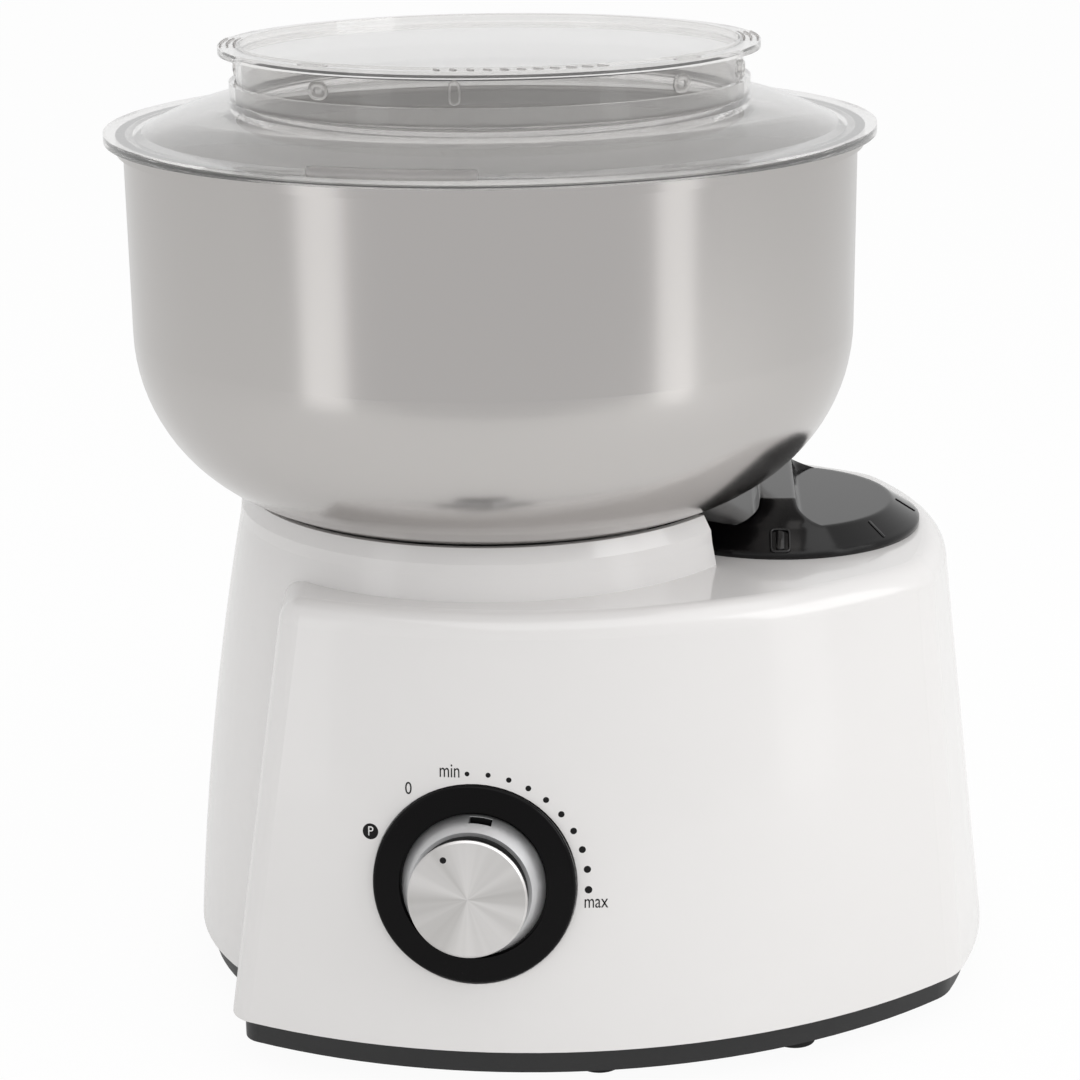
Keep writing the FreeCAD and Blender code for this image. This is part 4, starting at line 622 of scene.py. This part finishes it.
def feed_lid_details():
    """Grips, ticks and slots on the feed lid's flange, and a keyway and studs on the wall below."""
    low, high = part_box("feed_lid")
    lid = solid_surface("feed_lid")
    above = high.z + CAST_BACK
    shape = bmesh.new()
    for end in GRIP_ENDS:
        for row in GRIP_ROWS:
            for index in range(GRIP_COUNT):
                turn = end + GRIP_SPAN * (2 * index / (GRIP_COUNT - 1) - 1)
                place = seat_on(lid, on_bowl(turn, row, above), -UP, UP.cross(outward(turn)))
                raised_pad(shape, stadium(GRIP_LENGTH, GRIP_WIDTH, SMALL_STEPS), GRIP_HEIGHT, place)
    piece("feed_lid_grips", shape, "feed_lid", "clear_plastic", FROSTED)
    shape = bmesh.new()
    for index in range(TICK_COUNT):
        turn = TICK_FROM + (TICK_TO - TICK_FROM) * index / (TICK_COUNT - 1)
        place = seat_on(lid, on_bowl(turn, TICK_RADIUS, above), -UP, outward(turn + TICK_SLANT))
        raised_pad(shape, stadium(TICK_LENGTH, TICK_WIDTH, SMALL_STEPS), TICK_HEIGHT, place)
    piece("feed_lid_ticks", shape, "feed_lid", "clear_plastic", FROSTED)
    shape = bmesh.new()
    for turn in SLOT_TURNS:
        place = seat_on(lid, on_bowl(turn, GRIP_ROWS[1], above), -UP, UP.cross(outward(turn)))
        raised_loop(shape, SLOT_LENGTH, SLOT_WIDTH, KEYWAY_RIB, SLOT_HEIGHT, place)
    piece("feed_lid_slots", shape, "feed_lid", "clear_plastic")
    shape = bmesh.new()
    beside = on_bowl(KEYWAY_TURN, SIDE_CAST, high.z - KEYWAY_HEIGHT)
    place = seat_on(lid, beside, -outward(KEYWAY_TURN), UP)
    raised_loop(shape, KEYWAY_HEIGHT, KEYWAY_WIDTH, KEYWAY_RIB, KEYWAY_RISE, place)
    piece("feed_lid_keyway", shape, "feed_lid", "clear_plastic")
    shape = bmesh.new()
    for turn in STUD_TURNS:
        place = seat_on(lid, on_bowl(turn, SIDE_CAST, low.z + STUD_RISE), -outward(turn))
        raised_loop(shape, STUD_LENGTH, STUD_WIDTH, STUD_BAND, STUD_HEIGHT, place)
    piece("feed_lid_studs", shape, "feed_lid", "clear_plastic")


# Marks on the cover

BEVEL_MIDDLE = 5.4 * MM
LOOP_TURN = -94.0
LOOP_LENGTH = 11.8 * MM
LOOP_WIDTH = 7.8 * MM
LOOP_CORNER = 2.2 * MM
LOOP_BAND = 1.0 * MM
LOOP_HEIGHT = 0.9 * MM
LOOP_SUNK = 0.1 * MM
LOOP_PAD = (9.4 * MM, 3.2 * MM)
RIB_TURNS = (-47.0, -5.0)
RIB_LENGTH = 9.0 * MM
RIB_WIDTH = 1.1 * MM
RIB_HEIGHT = 0.35 * MM


def cover_marks():
    """A raised frame round an oval on the front bevel, and two short ribs that show how far to turn."""
    cover = solid_surface("drive_cover")
    low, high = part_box("drive_cover")
    radius = (high.y - low.y) / 2 - BEVEL_MIDDLE
    places = []
    for turn in (LOOP_TURN,) + RIB_TURNS:
        point = COVER_AXIS + outward(turn) * radius
        point.z = high.z + CAST_BACK
        places.append(seat_on(cover, point, -UP, outward(turn)))
    shape = bmesh.new()
    sunk = places[0] @ Matrix.Translation((0, 0, -LOOP_SUNK))
    raised_loop(shape, LOOP_LENGTH, LOOP_WIDTH, LOOP_BAND, LOOP_HEIGHT, sunk, LOOP_CORNER)
    raised_pad(shape, stadium(*LOOP_PAD), LOOP_HEIGHT, sunk)
    for place in places[1:]:
        raised_pad(shape, stadium(RIB_LENGTH, RIB_WIDTH, SMALL_STEPS), RIB_HEIGHT, place)
    # The marks take the cover's black painted a little lighter, as a painted highlight
    piece("cover_marks", shape, "cover", "cover_black", COVER_RELIEF_PAINTED_LIGHTER)


# Studio

# Camera, as worked out from the photograph's ellipses, with its angles in radians
CAMERA_PLACE = Vector((-24.0, -979.6, 461.9)) * MM
CAMERA_PAN = 0.016737
CAMERA_PITCH = 0.292336
CAMERA_ROLL = -0.011873
CAMERA_NEAR = 0.01
FOCAL_PIXELS = 2638.44
FRAME_PIXELS = 1080
SENSOR = 36.0
# Each lamp's name, place, width, height and watts; two tall strips, one above and one at the side
LAMPS = (
    ("lamp_left", (-0.62, -0.52, 0.32), 0.2, 0.7, 0.235),
    ("lamp_right", (0.60, -0.48, 0.32), 0.17, 0.7, 0.2),
    ("lamp_top", (0.2, -0.5, 1.7), 1.8, 1.8, 9.0),
    ("lamp_side", (1.2, -0.6, 0.9), 0.9, 0.9, 5.0),
)
LAMPS_AIM = Vector((0, 0, 0.22))
FLOOR_NEAR = -0.72
FLOOR_FAR = 12.0
FLOOR_SIDE = 8.0
# Share of the floor that glows white to the camera and in a mirror
FLOOR_GLOW = 0.95
FLOOR_MIRRORED = 0.4
# Light that the room gives, how bright a mirror sees it before and behind the object, and the levels of
# a ray's Y between which the one tone turns into the other
AMBIENT = 0.68
ROOM_FRONT = 0.75
ROOM_BACK = 0.85
ROOM_FRONT_ENDS = -0.35
ROOM_BACK_STARTS = 0.25


def camera():
    """The photograph's view."""
    level = math.cos(CAMERA_PITCH)
    ahead = Vector((math.sin(CAMERA_PAN) * level, math.cos(CAMERA_PAN) * level, -math.sin(CAMERA_PITCH)))
    right = Vector((math.cos(CAMERA_PAN), -math.sin(CAMERA_PAN), 0))
    up = right.cross(ahead)
    rolled_right = math.cos(CAMERA_ROLL) * right + math.sin(CAMERA_ROLL) * up
    rolled_up = math.cos(CAMERA_ROLL) * up - math.sin(CAMERA_ROLL) * right
    lens = bpy.data.cameras.new("camera")
    lens.sensor_width = SENSOR
    lens.lens = FOCAL_PIXELS / FRAME_PIXELS * SENSOR
    lens.clip_start = CAMERA_NEAR
    made = bpy.data.objects.new("camera", lens)
    made.matrix_world = (Matrix.Translation(CAMERA_PLACE)
                         @ Matrix((rolled_right, rolled_up, -ahead)).transposed().to_4x4())
    bpy.context.scene.collection.objects.link(made)
    bpy.context.scene.camera = made


def lamps():
    """Soft lamps, which don't show by themselves or through the lids."""
    for name, place, width, height, watts in LAMPS:
        light = bpy.data.lights.new(name, "AREA")
        light.shape = "RECTANGLE"
        light.size = width
        light.size_y = height
        light.energy = watts
        lamp = bpy.data.objects.new(name, light)
        lamp.visible_camera = False
        lamp.visible_transmission = False
        lamp.location = place
        lamp.rotation_euler = (LAMPS_AIM - lamp.location).to_track_quat("-Z", "Y").to_euler()
        bpy.context.scene.collection.objects.link(lamp)


def seen_straight(tree, rays):
    """1 for what the camera sees, also through clear pieces."""
    return add(tree, "ShaderNodeMath", {"operation": "MAXIMUM"}, _0=rays["Is Camera Ray"],
               _1=rays["Is Transmission Ray"]).outputs[0]


def pale_floor():
    """White paper that keeps the object's shadow."""
    shape = bmesh.new()
    corners = ((-FLOOR_SIDE, FLOOR_NEAR), (FLOOR_SIDE, FLOOR_NEAR),
               (FLOOR_SIDE, FLOOR_FAR), (-FLOOR_SIDE, FLOOR_FAR))
    shape.faces.new([shape.verts.new((x, y, 0)) for x, y in corners])
    mesh = bpy.data.meshes.new("floor")
    shape.to_mesh(mesh)
    shape.free()
    floor = bpy.data.objects.new("floor", mesh)
    bpy.context.scene.collection.objects.link(floor)
    made, tree, shader, _ = finish("paper_white", "#F4F4F3", 0.7)
    glow = add(tree, "ShaderNodeEmission", Strength=1.0)
    rays = add(tree, "ShaderNodeLightPath").outputs
    straight = add(tree, "ShaderNodeMath", {"operation": "MULTIPLY"},
                   _0=seen_straight(tree, rays), _1=FLOOR_GLOW)
    mirrored = add(tree, "ShaderNodeMath", {"operation": "MULTIPLY"},
                   _0=rays["Is Glossy Ray"], _1=FLOOR_MIRRORED)
    share = add(tree, "ShaderNodeMath", {"operation": "MAXIMUM"},
                _0=straight.outputs[0], _1=mirrored.outputs[0])
    mix = add(tree, "ShaderNodeMixShader", _0=share.outputs[0], _1=shader.outputs[0], _2=glow.outputs[0])
    tree.links.new(mix.outputs[0], tree.nodes["Material Output"].inputs["Surface"])
    mesh.materials.append(made)


def white_room():
    """A white world that is greyer on the camera's side for reflections."""
    world = bpy.data.worlds.new("studio")
    bpy.context.scene.world = world
    world.use_nodes = True
    tree = world.node_tree
    level = tree.nodes["Background"]
    rays = add(tree, "ShaderNodeLightPath").outputs
    ways = add(tree, "ShaderNodeSeparateXYZ", _0=add(tree, "ShaderNodeTexCoord").outputs["Generated"])
    room = add(tree, "ShaderNodeMapRange", Value=ways.outputs["Y"], From_Min=ROOM_FRONT_ENDS,
               From_Max=ROOM_BACK_STARTS, To_Min=ROOM_FRONT, To_Max=ROOM_BACK)
    ambient = add(tree, "ShaderNodeMix", Factor=rays["Is Glossy Ray"],
                  _2=AMBIENT, _3=room.outputs["Result"])
    strength = add(tree, "ShaderNodeMix", Factor=seen_straight(tree, rays), _2=ambient.outputs[0], _3=1.0)
    tree.links.new(strength.outputs[0], level.inputs["Strength"])
    level.inputs["Color"].default_value = (1, 1, 1, 1)
    tree.links.new(level.outputs[0], tree.nodes["World Output"].inputs["Surface"])


dress_solids()
dial()
knob_marker()
knob_window()
bowl_rim()
lid_strip()
feed_lid_details()
cover_marks()
camera()
lamps()
pale_floor()
white_room()
bpy.context.scene.view_settings.view_transform = "Standard"
